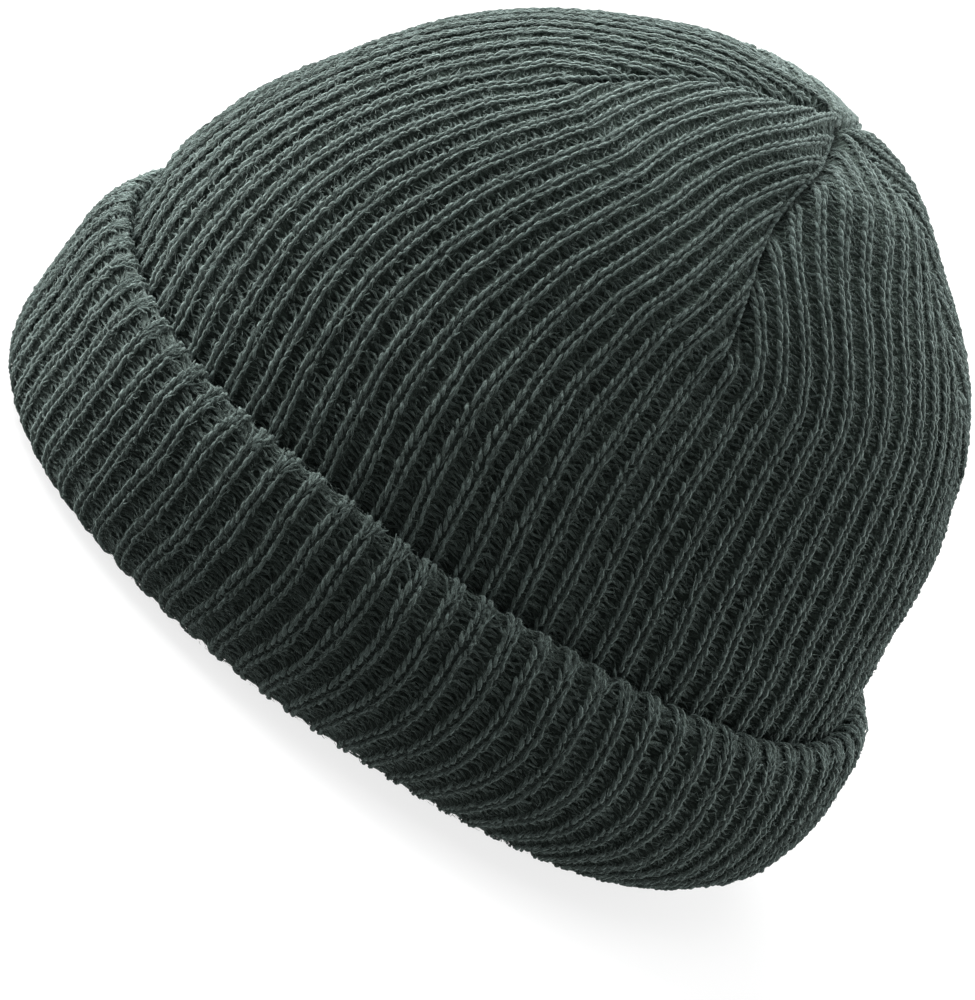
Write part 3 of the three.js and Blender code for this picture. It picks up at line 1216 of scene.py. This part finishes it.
class Graph:
    """Node tree of one material, emptied and filled again."""

    # The surface of wool
    ROUGH = 0.88
    SHINE = 0.18
    SHEEN_ROUGH = 0.60
    SHEEN_TINT = (0.66, 0.82, 0.77, 1.0)

    def __init__(self, name: str) -> None:
        """Makes the material.

        Args:
            name: its name.
        """
        self.material = bpy.data.materials.new(name)
        self.material.use_nodes = True
        self.tree = self.material.node_tree
        self.tree.nodes.clear()

    def node(
        self, kind: str, settings: dict | None = None, inputs: dict | None = None
    ) -> bpy.types.Node:
        """Adds a node.

        Args:
            kind: type name of the node.
            settings: properties of the node.
            inputs: values or sockets by input name or number.

        Returns:
            The node.
        """
        made = self.tree.nodes.new(kind)
        for key, value in (settings or {}).items():
            setattr(made, key, value)
        for key, value in (inputs or {}).items():
            if isinstance(value, Socket):
                self.tree.links.new(value.socket, made.inputs[key])
            else:
                made.inputs[key].default_value = value
        return made

    def maths(self, operation: str, *values: Socket | float) -> Socket:
        """Adds a math node."""
        made = self.node("ShaderNodeMath", {"operation": operation}, dict(enumerate(values)))
        return Socket(self, made.outputs[0])

    def attribute(self, name: str) -> Socket:
        """A number kept on the mesh."""
        made = self.node("ShaderNodeAttribute", {"attribute_name": name})
        return Socket(self, made.outputs["Fac"])

    def cloth(self) -> tuple[Socket, Socket]:
        """Reads the mesh's own layout.

        Returns:
            Its two numbers.
        """
        layout = self.node("ShaderNodeUVMap", {"uv_map": "cloth"})
        parts = self.node("ShaderNodeSeparateXYZ", None, {0: Socket(self, layout.outputs[0])})
        return Socket(self, parts.outputs[0]), Socket(self, parts.outputs[1])

    def noise(self, scale: float, detail: float = 2.0, place: Socket | None = None) -> Socket:
        """Adds noise.

        Args:
            scale: how fine it is.
            detail: how many finer layers it has.
            place: where it is read, or None for the object's own space.

        Returns:
            The noise, about 0 to 1.
        """
        if place is None:
            place = Socket(self, self.node("ShaderNodeTexCoord").outputs["Object"])
        inputs = {"Vector": place, "Scale": scale, "Detail": detail}
        return Socket(self, self.node("ShaderNodeTexNoise", None, inputs).outputs["Fac"])

    def place(self, x: Socket, y: Socket) -> Socket:
        """A place made of two numbers."""
        made = self.node("ShaderNodeCombineXYZ", None, {0: x, 1: y})
        return Socket(self, made.outputs[0])

    def tint(self, low: Socket | Colour, high: Socket | Colour, share: Socket) -> Socket:
        """Blends two colours.

        Args:
            low: the first colour.
            high: the second colour.
            share: share of the second.

        Returns:
            The blend.
        """
        ends = [c if isinstance(c, Socket) else (*c, 1.0) for c in (low, high)]
        made = self.node("ShaderNodeMix", {"data_type": "RGBA"}, {0: share, 6: ends[0], 7: ends[1]})
        return Socket(self, made.outputs[2])

    def bump(self, height: Socket, strength: float, distance: float) -> Socket:
        """Makes a bumped normal.

        Args:
            height: the relief.
            strength: how strongly it shows.
            distance: its height in metres.

        Returns:
            The normal.
        """
        inputs = {"Height": height, "Strength": strength, "Distance": distance}
        return Socket(self, self.node("ShaderNodeBump", None, inputs).outputs[0])

    def surface(self, colour: Socket, normal: Socket, sheen: float) -> bpy.types.Material:
        """Ends the tree with a matt cloth surface.

        Args:
            colour: colour socket.
            normal: bumped normal.
            sheen: weight of the fuzz's sheen.

        Returns:
            The material.
        """
        shader = self.node(
            "ShaderNodeBsdfPrincipled",
            None,
            {
                "Base Color": colour,
                "Normal": normal,
                "Roughness": self.ROUGH,
                "Specular IOR Level": self.SHINE,
                "Sheen Weight": sheen,
                "Sheen Roughness": self.SHEEN_ROUGH,
                "Sheen Tint": self.SHEEN_TINT,
            },
        )
        return self.end(shader)

    def end(self, shader: bpy.types.Node) -> bpy.types.Material:
        """Ends the tree with a shader and gives its material."""
        self.node("ShaderNodeOutputMaterial", None, {"Surface": Socket(self, shader.outputs[0])})
        return self.material


@dataclass(frozen=True)
class Grain:
    """A noise: how fine it is each way, its finer layers, and the values where it starts and ends."""

    fine: tuple[float, ...]
    detail: float
    start: float = 0.3
    end: float = 0.7

    def lay(self, graph: Graph, *ways: Socket) -> Socket:
        """Adds the noise as a smooth step from start to end.

        Args:
            graph: the node tree.
            ways: the cloth's layout, or nothing for the object's own space.

        Returns:
            0 to 1.
        """
        return self.plain(graph, *ways).between(self.start, self.end)

    def plain(self, graph: Graph, *ways: Socket) -> Socket:
        """Adds the noise as it is.

        Args:
            graph: the node tree.
            ways: the cloth's layout, or nothing for the object's own space.

        Returns:
            The noise, about 0 to 1.
        """
        if not ways:
            return graph.noise(self.fine[0], self.detail)
        place = graph.place(*(way * fine for way, fine in zip(ways, self.fine)))
        return graph.noise(1.0, self.detail, place)


@dataclass(frozen=True)
class Mark:
    """What a noise does to the tone: its gain, and the tone where the noise is nothing."""

    gain: float
    base: float

    def of(self, value: Socket) -> Socket:
        """Tone at a value."""
        return value * self.gain + self.base


@dataclass(frozen=True)
class Yarn:
    """Dyed wool: the tones of its heather, its sheen and the depth of its twist.

    On a strand, fibres run with the plies, clumps are a millimetre or two and patches a few
    centimetres. On the cloth under it, a dark torn oval is painted in each stitch of a rib as the
    shade in the hole between its chains, and strands lie across the valleys.
    """

    FIBRE = Grain((3.0, 0.7), 3.0, 0.36, 0.64)
    CLUMP = Grain((700.0,), 2.0, 0.34, 0.62)
    PATCH = Grain((60.0,), 2.0)
    FIBRE_TONE = Mark(0.40, 0.16)
    CLUMP_TONE = Mark(0.36, 0.63)
    PATCH_TONE = Mark(0.24, 0.88)
    TOP_TONE = (0.55, 0.95)  # tones of a strand between which its colour turns from the dim one to the light one

    TORN = Grain((3.1, 0.75), 2.0)
    PAINTED_HOLE = (22.0, 1.4, 4.0)  # how fast a painted hole ends across, up and where it is torn
    PAINTED_HOLE_EDGE = (2.2, 3.6)
    RIB_EDGE = (0.20, 0.46)
    LYING = Grain((5.0, 2.7), 3.0, 0.44, 0.62)
    CLOTH_FIBRE = Grain((1500.0,), 3.0)
    CLOTH_TONE = Mark(0.9, 0.35)
    CLOTH_LIFT_EDGE = (0.56, 1.0)  # tones of the cloth where it starts and ends to be lifted: fuzz in the valleys, with painted top light near the tip
    CLOTH_LIFT_TONE = Mark(0.16, 0.06)
    RIB_TONE = 0.30
    VALLEY_TONE = 0.42
    FIBRE_HEIGHT = 0.5

    name: str
    # colour of dim strands and of the valleys, where tone is low from random heather and from painted
    # shade
    dim_colour: Colour
    light: Colour
    dark: Colour = (0.0027, 0.0066, 0.0044)
    sheen: float = 0.42
    twist: float = 0.8
    wind: float = 0.34
    ply_depth: float = 0.0003
    knit_depth: float = 0.0006
    inner_sheen: float = 0.4

    def strand_material(self) -> bpy.types.Material:
        """Makes the finish of a strand: two plies wound round each other, with loose fibres.

        Returns:
            The material.
        """
        graph = Graph(self.name)
        around, along = graph.cloth()
        tone = graph.attribute("shade")
        fibre = self.FIBRE.lay(graph, around + along * self.wind, along)
        clump = self.CLUMP.lay(graph)
        patch = self.PATCH.lay(graph)
        # the shade attribute holds painted shade of strand ends, seams, hollows and valleys besides
        # random heather
        value = tone * self.FIBRE_TONE.of(fibre) * self.CLUMP_TONE.of(clump) * self.PATCH_TONE.of(patch)
        top = graph.tint(self.dim_colour, self.light, tone.between(*self.TOP_TONE))
        colour = graph.tint(self.dark, top, value)
        return graph.surface(colour, graph.bump(fibre + clump, self.twist, self.ply_depth), self.sheen)

    def backing_material(self) -> bpy.types.Material:
        """Makes the finish of the cloth under the strands and inside the hat.

        Returns:
            The material.
        """
        graph = Graph(self.name + "_backing")
        across, up = graph.cloth()
        tone = graph.attribute("shade")
        off, high = ((way.fraction() - 0.5).distance() * 2.0 for way in (across, up))
        sides, ends, tears = self.PAINTED_HOLE
        torn = self.TORN.plain(graph, across, up)
        # a dark oval painted at each stitch between a rib's chains, as the shade in the hole there
        painted_hole = (off * off * sides + high * high * ends + torn * tears).between(*self.PAINTED_HOLE_EDGE)
        rib = 1.0 - off.between(*self.RIB_EDGE)
        fibre = self.CLOTH_FIBRE.lay(graph)
        # lifts the cloth's tone where it is high: fuzz, and painted top light near the tip
        cloth_lift = self.CLOTH_LIFT_TONE.of(tone.between(*self.CLOTH_LIFT_EDGE))
        lying = self.LYING.lay(graph, across, up)
        value = rib * painted_hole * self.RIB_TONE + (1.0 - rib) * lying * self.VALLEY_TONE + cloth_lift
        value = tone * value * self.CLOTH_TONE.of(fibre)
        # the valleys take the dim colour, as painted shade
        colour = graph.tint(self.dark, graph.tint(self.dim_colour, self.light, rib), value)
        height = painted_hole * rib + lying + fibre * self.FIBRE_HEIGHT
        normal = graph.bump(height, self.twist, self.knit_depth)
        return graph.surface(colour, normal, self.sheen * self.inner_sheen)


CROWN_YARN = Yarn("crown_yarn", (0.111, 0.157, 0.133), (0.125, 0.169, 0.156))
# the cuff's yarn: the same wool as the crown's, a little darker as painted shade
CUFF_SHADED_YARN = Yarn("cuff_shaded_yarn", (0.104, 0.147, 0.125), (0.117, 0.158, 0.146))


# Sub-assemblies


@dataclass(frozen=True)
class Backing:
    """Ribbed cloth under the strands, kept dark as painted shade between them."""

    per_rib: int = 6
    # tone of the cloth, dark as painted shade of the gaps between strands
    tone: float = 0.40
    # lighter tone towards the tip: fuzz, and painted top light
    plush_and_top_light_tone: float = 0.95
    rib_out: float = -0.72
    valley_out: float = -3.05
    rib_flat: float = 0.22
    slope: float = 0.72
    least_face: float = 1e-4

    def relief(self, column: np.ndarray) -> np.ndarray:
        """Height of the cloth over a column."""
        off = np.abs(np.mod(column, 2.0) - 1.0)
        return mix(self.rib_out, self.valley_out, ease((off - self.rib_flat) / self.slope))

    def sheet(
        self,
        name: str,
        surface: Surface,
        rows: np.ndarray,
        lift: Callable[[np.ndarray], np.ndarray] | None = None,
    ) -> bpy.types.Object:
        """Makes one face of cloth.

        Args:
            name: name of the piece.
            surface: face that it follows.
            rows: rows of the knit, from below up.
            lift: height for each column, in place of the usual relief.

        Returns:
            The object.
        """
        column = np.arange(RIBS * self.per_rib) * 2.0 / self.per_rib
        c, r = np.meshgrid(column, rows)
        points = surface.at(c, r, (lift or self.relief)(c) * surface.relief(r)).reshape(-1, 3)
        index = np.arange(c.size).reshape(c.shape)
        nxt = np.roll(index, -1, axis=1)
        faces = np.stack([index[:-1], nxt[:-1], nxt[1:], index[1:]], axis=-1).reshape(-1, 4)
        uv = np.stack([c / 2.0, r], axis=-1).reshape(-1, 2)
        corners = points[faces]
        cross = np.cross(corners[:, 2] - corners[:, 0], corners[:, 3] - corners[:, 1])
        faces = faces[np.linalg.norm(cross, axis=1) > self.least_face]
        # painted shade: the cloth kept dark, lighter towards the tip for fuzz and painted top light,
        # darker in the seams and hollows
        shade = mix(self.tone, self.plush_and_top_light_tone, surface.plush_and_top_light(r)) * surface.painted_light_share(c, r)
        return ArrayMesh.build(name, points, faces, uv, shade.ravel())


@dataclass(frozen=True)
class Knit:
    """Stitches of one face: legs on the ribs, strands across the valleys."""

    surface: Surface
    bridges: float = 0.55
    turn: float = 1.7
    sway: tuple[tuple[float, float, float], ...] = ((0.06, 0.21, 1.0), (0.04, 0.53, 2.3))

    def cells(self, rows: np.ndarray, start: float, end: float) -> tuple[np.ndarray, np.ndarray]:
        """Lists the stitches on the ribs.

        Args:
            rows: rows of the stitches.
            start: first column.
            end: column before which they end.

        Returns:
            Their columns and rows.
        """
        columns = np.arange(1, COLUMNS, 2.0)
        c, r = np.meshgrid(columns[(columns >= start) & (columns < end)], rows)
        return c.ravel(), r.ravel()

    def fill(
        self, column: np.ndarray, row: np.ndarray, rng: np.random.Generator, strands: Strands
    ) -> None:
        """Lays every strand of the given stitches.

        Args:
            column: columns of the stitches.
            row: their rows.
            rng: source of the small differences.
            strands: where the strands are gathered.
        """
        LEG_SLANT.lay(self.surface, column, row, -1.0, rng, strands)
        LEG_UPRIGHT.lay(self.surface, column, row, 1.0, rng, strands)
        plies = Strands(corners=2)
        PLY.lay(self.surface, column, row, -1.0, rng, plies)
        PLY.lay(self.surface, column, row + 0.5, 1.0, rng, plies)
        some = rng.random(len(column)) < self.bridges
        BRIDGE.lay(self.surface, column[some], row[some], 1.0, rng, plies)
        strands.take(plies)
        self.valley(column, row, 1.0, rng, strands)
        fibres = Strands(corners=2)
        RIB_FUZZ.lay(self.surface, column, row, rng, fibres)
        strands.take(fibres)

    def valley(
        self,
        column: np.ndarray,
        row: np.ndarray,
        mirror: float,
        rng: np.random.Generator,
        strands: Strands,
    ) -> None:
        """Lays the strands of the valleys beside the given stitches.

        Args:
            column: columns of the stitches.
            row: their rows.
            mirror: 1 for the valley after each rib, -1 for the one before it.
            rng: source of the small differences.
            strands: where the strands are gathered.
        """
        thin = Strands(corners=3)
        for rung in (RUNG_LOW, RUNG_HIGH):
            rung.lay(self.surface, column, row, mirror, rng, thin)
        strands.take(thin)
        flat = Strands(corners=2)
        WISP.lay(self.surface, column, row, mirror, rng, flat)
        strands.take(flat)

    def wander(self, column: np.ndarray, row: np.ndarray) -> np.ndarray:
        """Slow wandering of a rib's line."""
        a = column * self.turn
        return sum(wide * np.sin(row * along + a * times) for wide, along, times in self.sway)


@dataclass(frozen=True)
class Crown:
    """The crown: backing, inner face and five gores of stitches.

    Rows and columns are in stitches, and distances in millimetres.
    """

    surface: CrownSurface
    seed: int = 100
    first_row: float = 2.0
    stitch_end: float = 1.0  # rows left free at the tip
    stitch_middle: float = 0.4
    clear: float = 0.45  # nearest stitch to a dart
    back: float = 7.5  # how near the dart the valley before a rib is filled too
    steady: float = 6.0  # how near the dart a rib stops wandering
    hollow_at: float = 0.4  # where the hollow at a dart's foot starts
    rope_foot: float = 1.0
    rope_end: float = 4.0
    rope_step: float = 0.8
    rope_stray: tuple[float, float] = (0.05, 0.12)  # along the dart and up
    rope_span: float = 14.0  # columns of a gore's half, less one
    rope_margin: float = 0.001  # keeps the search inside its gore
    halvings: int = 22
    backing_step: float = 1.5
    backing_end: float = 0.2
    inner_step: float = 2.0
    inner_from: float = -16.0
    inner_end: float = 1.0
    inner_gap: float = 0.8
    inner_rise: float = 0.40

    def stitches(self, gore: int) -> bpy.types.Object:
        """Makes the strands of one gore.

        Args:
            gore: its number.

        Returns:
            The object.
        """
        rng = np.random.default_rng(self.seed + gore)
        strands = Strands()
        knit = Knit(self.surface)
        rows = np.arange(self.first_row, self.surface.rows - self.stitch_end, 1.0)
        c, r = knit.cells(rows, gore * PER_GORE, (gore + 1) * PER_GORE)
        left = self.surface.place(c, r).left
        keep = (left > self.clear) & ~self.hollow(c, r)
        c, r, left = c[keep], r[keep], left[keep]
        early = self.surface.place(c, r).across < 0.5
        first = (left < self.back) & early & ~self.hollow(c - 1.0, r)
        c = c + knit.wander(c, r) * np.clip(left / self.steady, 0, 1)
        knit.fill(c, r, rng, strands)
        knit.valley(c[first], r[first], -1.0, rng, strands)
        self.seam((gore + 1) % GORES, rng, strands)
        return strands.build(f"crown_gore_{gore + 1}_stitches")

    def hollow(self, column: np.ndarray, row: np.ndarray) -> np.ndarray:
        """Whether the middle of a stitch lies in the hollow beside a dart's foot."""
        place = self.surface.place(column, row + self.stitch_middle)
        return self.surface.hole(place) > self.hollow_at

    def beside(self, dart: int, row: np.ndarray, gap: np.ndarray) -> np.ndarray:
        """Finds the columns that lie a gap before a dart, by halving.

        Args:
            dart: number of the dart.
            row: rows of the knit.
            gap: millimetres from the dart.

        Returns:
            The columns.
        """
        last = PER_GORE * (dart or GORES) - self.rope_margin
        near, far = np.full(row.shape, last), np.full(row.shape, last - self.rope_span)
        for _ in range(self.halvings):
            middle = (near + far) / 2
            ended = self.surface.place(middle, row).left < gap
            near, far = np.where(ended, middle, near), np.where(ended, far, middle)
        return (near + far) / 2

    def seam(self, dart: int, rng: np.random.Generator, strands: Strands) -> None:
        """Lays the rope of stitches that a dart's fold makes, on the side that stands over it.

        Args:
            dart: number of the dart.
            rng: source of the small differences.
            strands: where the strands are gathered.
        """
        all_rows = np.arange(0.0, self.surface.rows, 0.5)
        foot = DARTS[dart].foot_z + self.rope_foot
        low = float(np.interp(foot, self.surface.z_of(all_rows), all_rows))
        start = np.arange(low, self.surface.rows - self.rope_end, self.rope_step)[:, None]
        gap, up, out, thick = SEAM_ROPE.table()
        each, every = (len(start), 1), (len(start), thick.size)
        row = start + up + rng.normal(0, self.rope_stray[0], every)
        gap = gap + rng.normal(0, SEAM_ROPE.stray, every)
        out = out + rng.normal(0, self.rope_stray[1], every)
        path, away = self.surface.course(self.beside(dart, row, gap), row, out)
        radius = SEAM_ROPE.radius * thick * rng.normal(1, SEAM_ROPE.UNEVEN, each)
        shade = SEAM_ROPE.tone + rng.normal(0, SEAM_ROPE.toss, each)
        # painted shade at the rope's thin ends
        shade = shade * (SEAM_ROPE.END_SHADE_TONE + SEAM_ROPE.END_SHADE_GAIN * thick)
        strands.add(path, away, radius, shade)

    def inner_relief(self, column: np.ndarray) -> np.ndarray:
        """Height of the cloth's inner face, where the valleys outside stand as ribs."""
        return -WALL - self.inner_gap - RIB_RISE * self.inner_rise * (1 - np.cos(math.pi * column))

    def build(self) -> list[bpy.types.Object]:
        """Makes all the crown's pieces.

        Returns:
            The objects.
        """
        end = self.surface.rows
        rows = np.arange(0, end - self.backing_step, self.backing_step)
        rows = np.concatenate([rows, [end - self.backing_end]])
        cloth = Backing().sheet("crown_backing", self.surface, rows)
        rows = np.arange(self.inner_from, end - self.inner_step - self.inner_end, self.inner_step)
        rows = np.concatenate([rows, [end - self.inner_end]])
        face = Backing(per_rib=4, tone=0.85)
        inner = face.sheet("crown_inner_face", self.surface, rows, self.inner_relief)
        inner.data.flip_normals()
        gores = [self.stitches(g) for g in range(GORES)]
        strand = CROWN_YARN.strand_material()
        back = CROWN_YARN.backing_material()
        made = [cloth, inner, *gores]
        for obj in made:
            obj.data.materials.append(strand if obj in gores else back)
            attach(obj, "root")
            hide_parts("crown")
        return made


@dataclass(frozen=True)
class Cuff:
    """The cuff: backing, stitches and bound edge. Rows are in stitches."""

    surface: CuffSurface
    seed: int = 300
    stitch_corners: tuple[int, int] = (1, 12)  # corners of the section, first and last
    edge_corner: int = 10
    stitch_above: float = 0.2
    edge_below: float = 0.5
    edge_above: float = 0.8
    edge_strands: int = 7
    edge_fuzz: int = 4
    fuzz_below: float = 0.4
    tip_step: float = 0.8
    tips: tuple[float, ...] = (-1.3, -0.8, -0.3, 0.3, 0.8, 1.3)
    names: tuple[str, str] = ("cuff_left_stitches", "cuff_right_stitches")

    def edge(self, ribs: np.ndarray, rng: np.random.Generator, strands: Strands) -> None:
        """Lays the light strands that run along the top edge, and the tips of the ribs.

        Args:
            ribs: columns of the ribs.
            rng: source of the small differences.
            strands: where the strands are gathered.
        """
        low = self.surface.row_at(self.edge_corner) - self.edge_below
        high = self.surface.row_at(self.edge_corner + 1) + self.edge_above
        thin = Strands(corners=3)
        for row in np.linspace(low, high, self.edge_strands):
            EDGE_STRAND.lay(self.surface, ribs, np.full(ribs.shape, row), 1.0, rng, thin)
        for mirror in self.tips:
            for row in (low, low + self.tip_step):
                TIP_STRAND.lay(self.surface, ribs, np.full(ribs.shape, row), mirror, rng, thin)
        strands.take(thin)
        flat = Strands(corners=2)
        for row in np.linspace(low - self.fuzz_below, high, self.edge_fuzz):
            EDGE_FUZZ.lay(self.surface, ribs, np.full(ribs.shape, row), rng, flat)
            WISP.lay(self.surface, ribs, np.full(ribs.shape, row), 1.0, rng, flat)
        strands.take(flat)

    def build(self) -> list[bpy.types.Object]:
        """Makes all the cuff's pieces.

        Returns:
            The objects.
        """
        cloth = Backing().sheet("cuff_backing", self.surface, np.arange(0, self.surface.rows, 1.0))
        made = [cloth]
        rng = np.random.default_rng(self.seed)
        knit = Knit(self.surface)
        first, last = (self.surface.row_at(corner) for corner in self.stitch_corners)
        rows = np.arange(first + self.stitch_above, last + self.stitch_above, 1.0)
        for half, name in enumerate(self.names):
            strands = Strands()
            c, r = knit.cells(rows, RIBS * half, RIBS * (half + 1))
            c = c + knit.wander(c, r)
            knit.fill(c, r, rng, strands)
            self.edge(np.unique(np.round(c)), rng, strands)
            made.append(strands.build(name))
        strand = CUFF_SHADED_YARN.strand_material()
        back = CUFF_SHADED_YARN.backing_material()
        for obj in made:
            obj.data.materials.append(back if obj is cloth else strand)
            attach(obj, "root")
            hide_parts("cuff")
        return made


# Stage


@dataclass(frozen=True)
class Lamp:
    """An area light, aimed at the hat."""

    AIM = (0.0, 0.0, 0.08)

    name: str
    place: Spot
    watts: float
    size: float = 1.2
    hidden: bool = False

    def build(self) -> None:
        """Makes the light."""
        data = bpy.data.lights.new(self.name, "AREA")
        data.size = self.size
        data.energy = self.watts
        obj = bpy.data.objects.new(self.name, data)
        obj.location = self.place
        aim = Vector(self.AIM) - Vector(self.place)
        obj.rotation_euler = aim.to_track_quat("-Z", "Y").to_euler()
        obj.visible_camera = not self.hidden
        bpy.context.scene.collection.objects.link(obj)


LAMPS = (
    Lamp("top", (0.0, 0.0, 1.88), 24.0),
    Lamp("over_front", (-0.82, -0.90, 1.41), 66.0),
    Lamp("far_side", (-1.66, -0.23, 0.74), 36.0),
    Lamp("front", (-0.47, -1.60, 0.25), 45.0),
    Lamp("far_front", (-1.34, -0.89, 0.25), 53.0),
    Lamp("far_back", (-0.78, 1.53, 0.63), 29.0),
    Lamp("back", (0.35, 1.75, 0.34), 25.0),
    Lamp("near_side", (1.72, -0.51, 0.25), 3.2),
    Lamp("near_back", (1.25, 1.25, 0.12), 6.2),
    Lamp("floor_bounce", (0.0, 0.0, -0.0001), 8.4, size=3.0, hidden=True),
)


@dataclass(frozen=True)
class FloorWhite:
    """Finish of the floor: mostly white of its own, with a little that takes the hat's shadow."""

    glow: float = 0.79
    matt: float = 0.18

    def material(self) -> bpy.types.Material:
        """Makes the material.

        Returns:
            The material.
        """
        graph = Graph("floor_white")
        glow = graph.node("ShaderNodeEmission", None, {"Color": (1, 1, 1, 1), "Strength": self.glow})
        grey = (self.matt, self.matt, self.matt, 1)
        matt = graph.node("ShaderNodeBsdfDiffuse", None, {"Color": grey})
        ends = {i: Socket(graph, shader.outputs[0]) for i, shader in enumerate((glow, matt))}
        return graph.end(graph.node("ShaderNodeAddShader", None, ends))


@dataclass(frozen=True)
class Stage:
    """Floor, surrounding light and camera. Angles are in degrees, sizes in metres."""

    azimuth: float = 66.67
    elevation: float = 16.67
    roll: float = 39.63
    distance: float = 1.737
    focal: float = 7.643  # in widths of the sensor
    sensor: float = 36.0  # in millimetres
    centre: Spot = (0.0, -0.0025, 0.085)
    shift: tuple[float, float] = (-0.10033, -0.15896)
    clip: tuple[float, float] = (0.05, 60.0)
    floor_half: float = 8.0
    floor_z: float = -0.0003
    world_light: float = 0.10

    def floor(self) -> None:
        """Makes the white floor."""
        mesh = bpy.data.meshes.new("floor")
        s, z = self.floor_half, self.floor_z
        mesh.from_pydata([(-s, -s, z), (s, -s, z), (s, s, z), (-s, s, z)], [], [(0, 1, 2, 3)])
        obj = bpy.data.objects.new("floor", mesh)
        bpy.context.scene.collection.objects.link(obj)
        mesh.materials.append(FloorWhite().material())
        obj.visible_diffuse = False
        obj.visible_glossy = False

    def world(self) -> None:
        """Makes the surrounding light."""
        world = bpy.data.worlds.new("studio")
        world.use_nodes = True
        background = world.node_tree.nodes["Background"]
        background.inputs[0].default_value = (1, 1, 1, 1)
        background.inputs[1].default_value = self.world_light
        bpy.context.scene.world = world

    def camera(self) -> None:
        """Makes the camera at the photograph's angle."""
        a, e, r = (math.radians(v) for v in (self.azimuth, self.elevation, self.roll))
        back = Vector((math.sin(a) * math.cos(e), -math.cos(a) * math.cos(e), math.sin(e)))
        right = Vector((math.cos(a), math.sin(a), 0))
        up = back.cross(right)
        x = right * math.cos(r) + up * math.sin(r)
        y = up * math.cos(r) - right * math.sin(r)
        data = bpy.data.cameras.new("camera")
        data.sensor_width = self.sensor
        data.lens = self.focal * self.sensor
        data.shift_x, data.shift_y = self.shift
        data.clip_start, data.clip_end = self.clip
        obj = bpy.data.objects.new("camera", data)
        place = Vector(self.centre) + back * self.distance
        obj.matrix_world = Matrix.Translation(place) @ Matrix((x, y, back)).transposed().to_4x4()
        bpy.context.scene.collection.objects.link(obj)
        bpy.context.scene.camera = obj

    def build(self) -> None:
        """Makes the whole stage."""
        self.floor()
        self.world()
        for lamp in LAMPS:
            lamp.build()
        self.camera()
        bpy.context.scene.view_settings.view_transform = "Standard"


def main() -> None:
    """Builds the hat and its stage."""
    logging.basicConfig(level=logging.INFO, format="%(message)s")
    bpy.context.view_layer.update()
    crown_outline = Outline(CROWN_ROWS)
    cuff_outline = Outline(CUFF_ROWS)
    columns = Columns(crown_outline)
    made = Crown(CrownSurface(crown_outline, columns)).build()
    made += Cuff(CuffSurface(cuff_outline, crown_outline, columns)).build()
    Stage().build()
    total = 0
    for obj in made:
        count = sum(len(p.vertices) - 2 for p in obj.data.polygons)
        total += count
        LOG.info("%s: %d triangles", obj.name, count)
    LOG.info("all pieces: %d triangles", total)


if __name__ == "__main__":
    main()
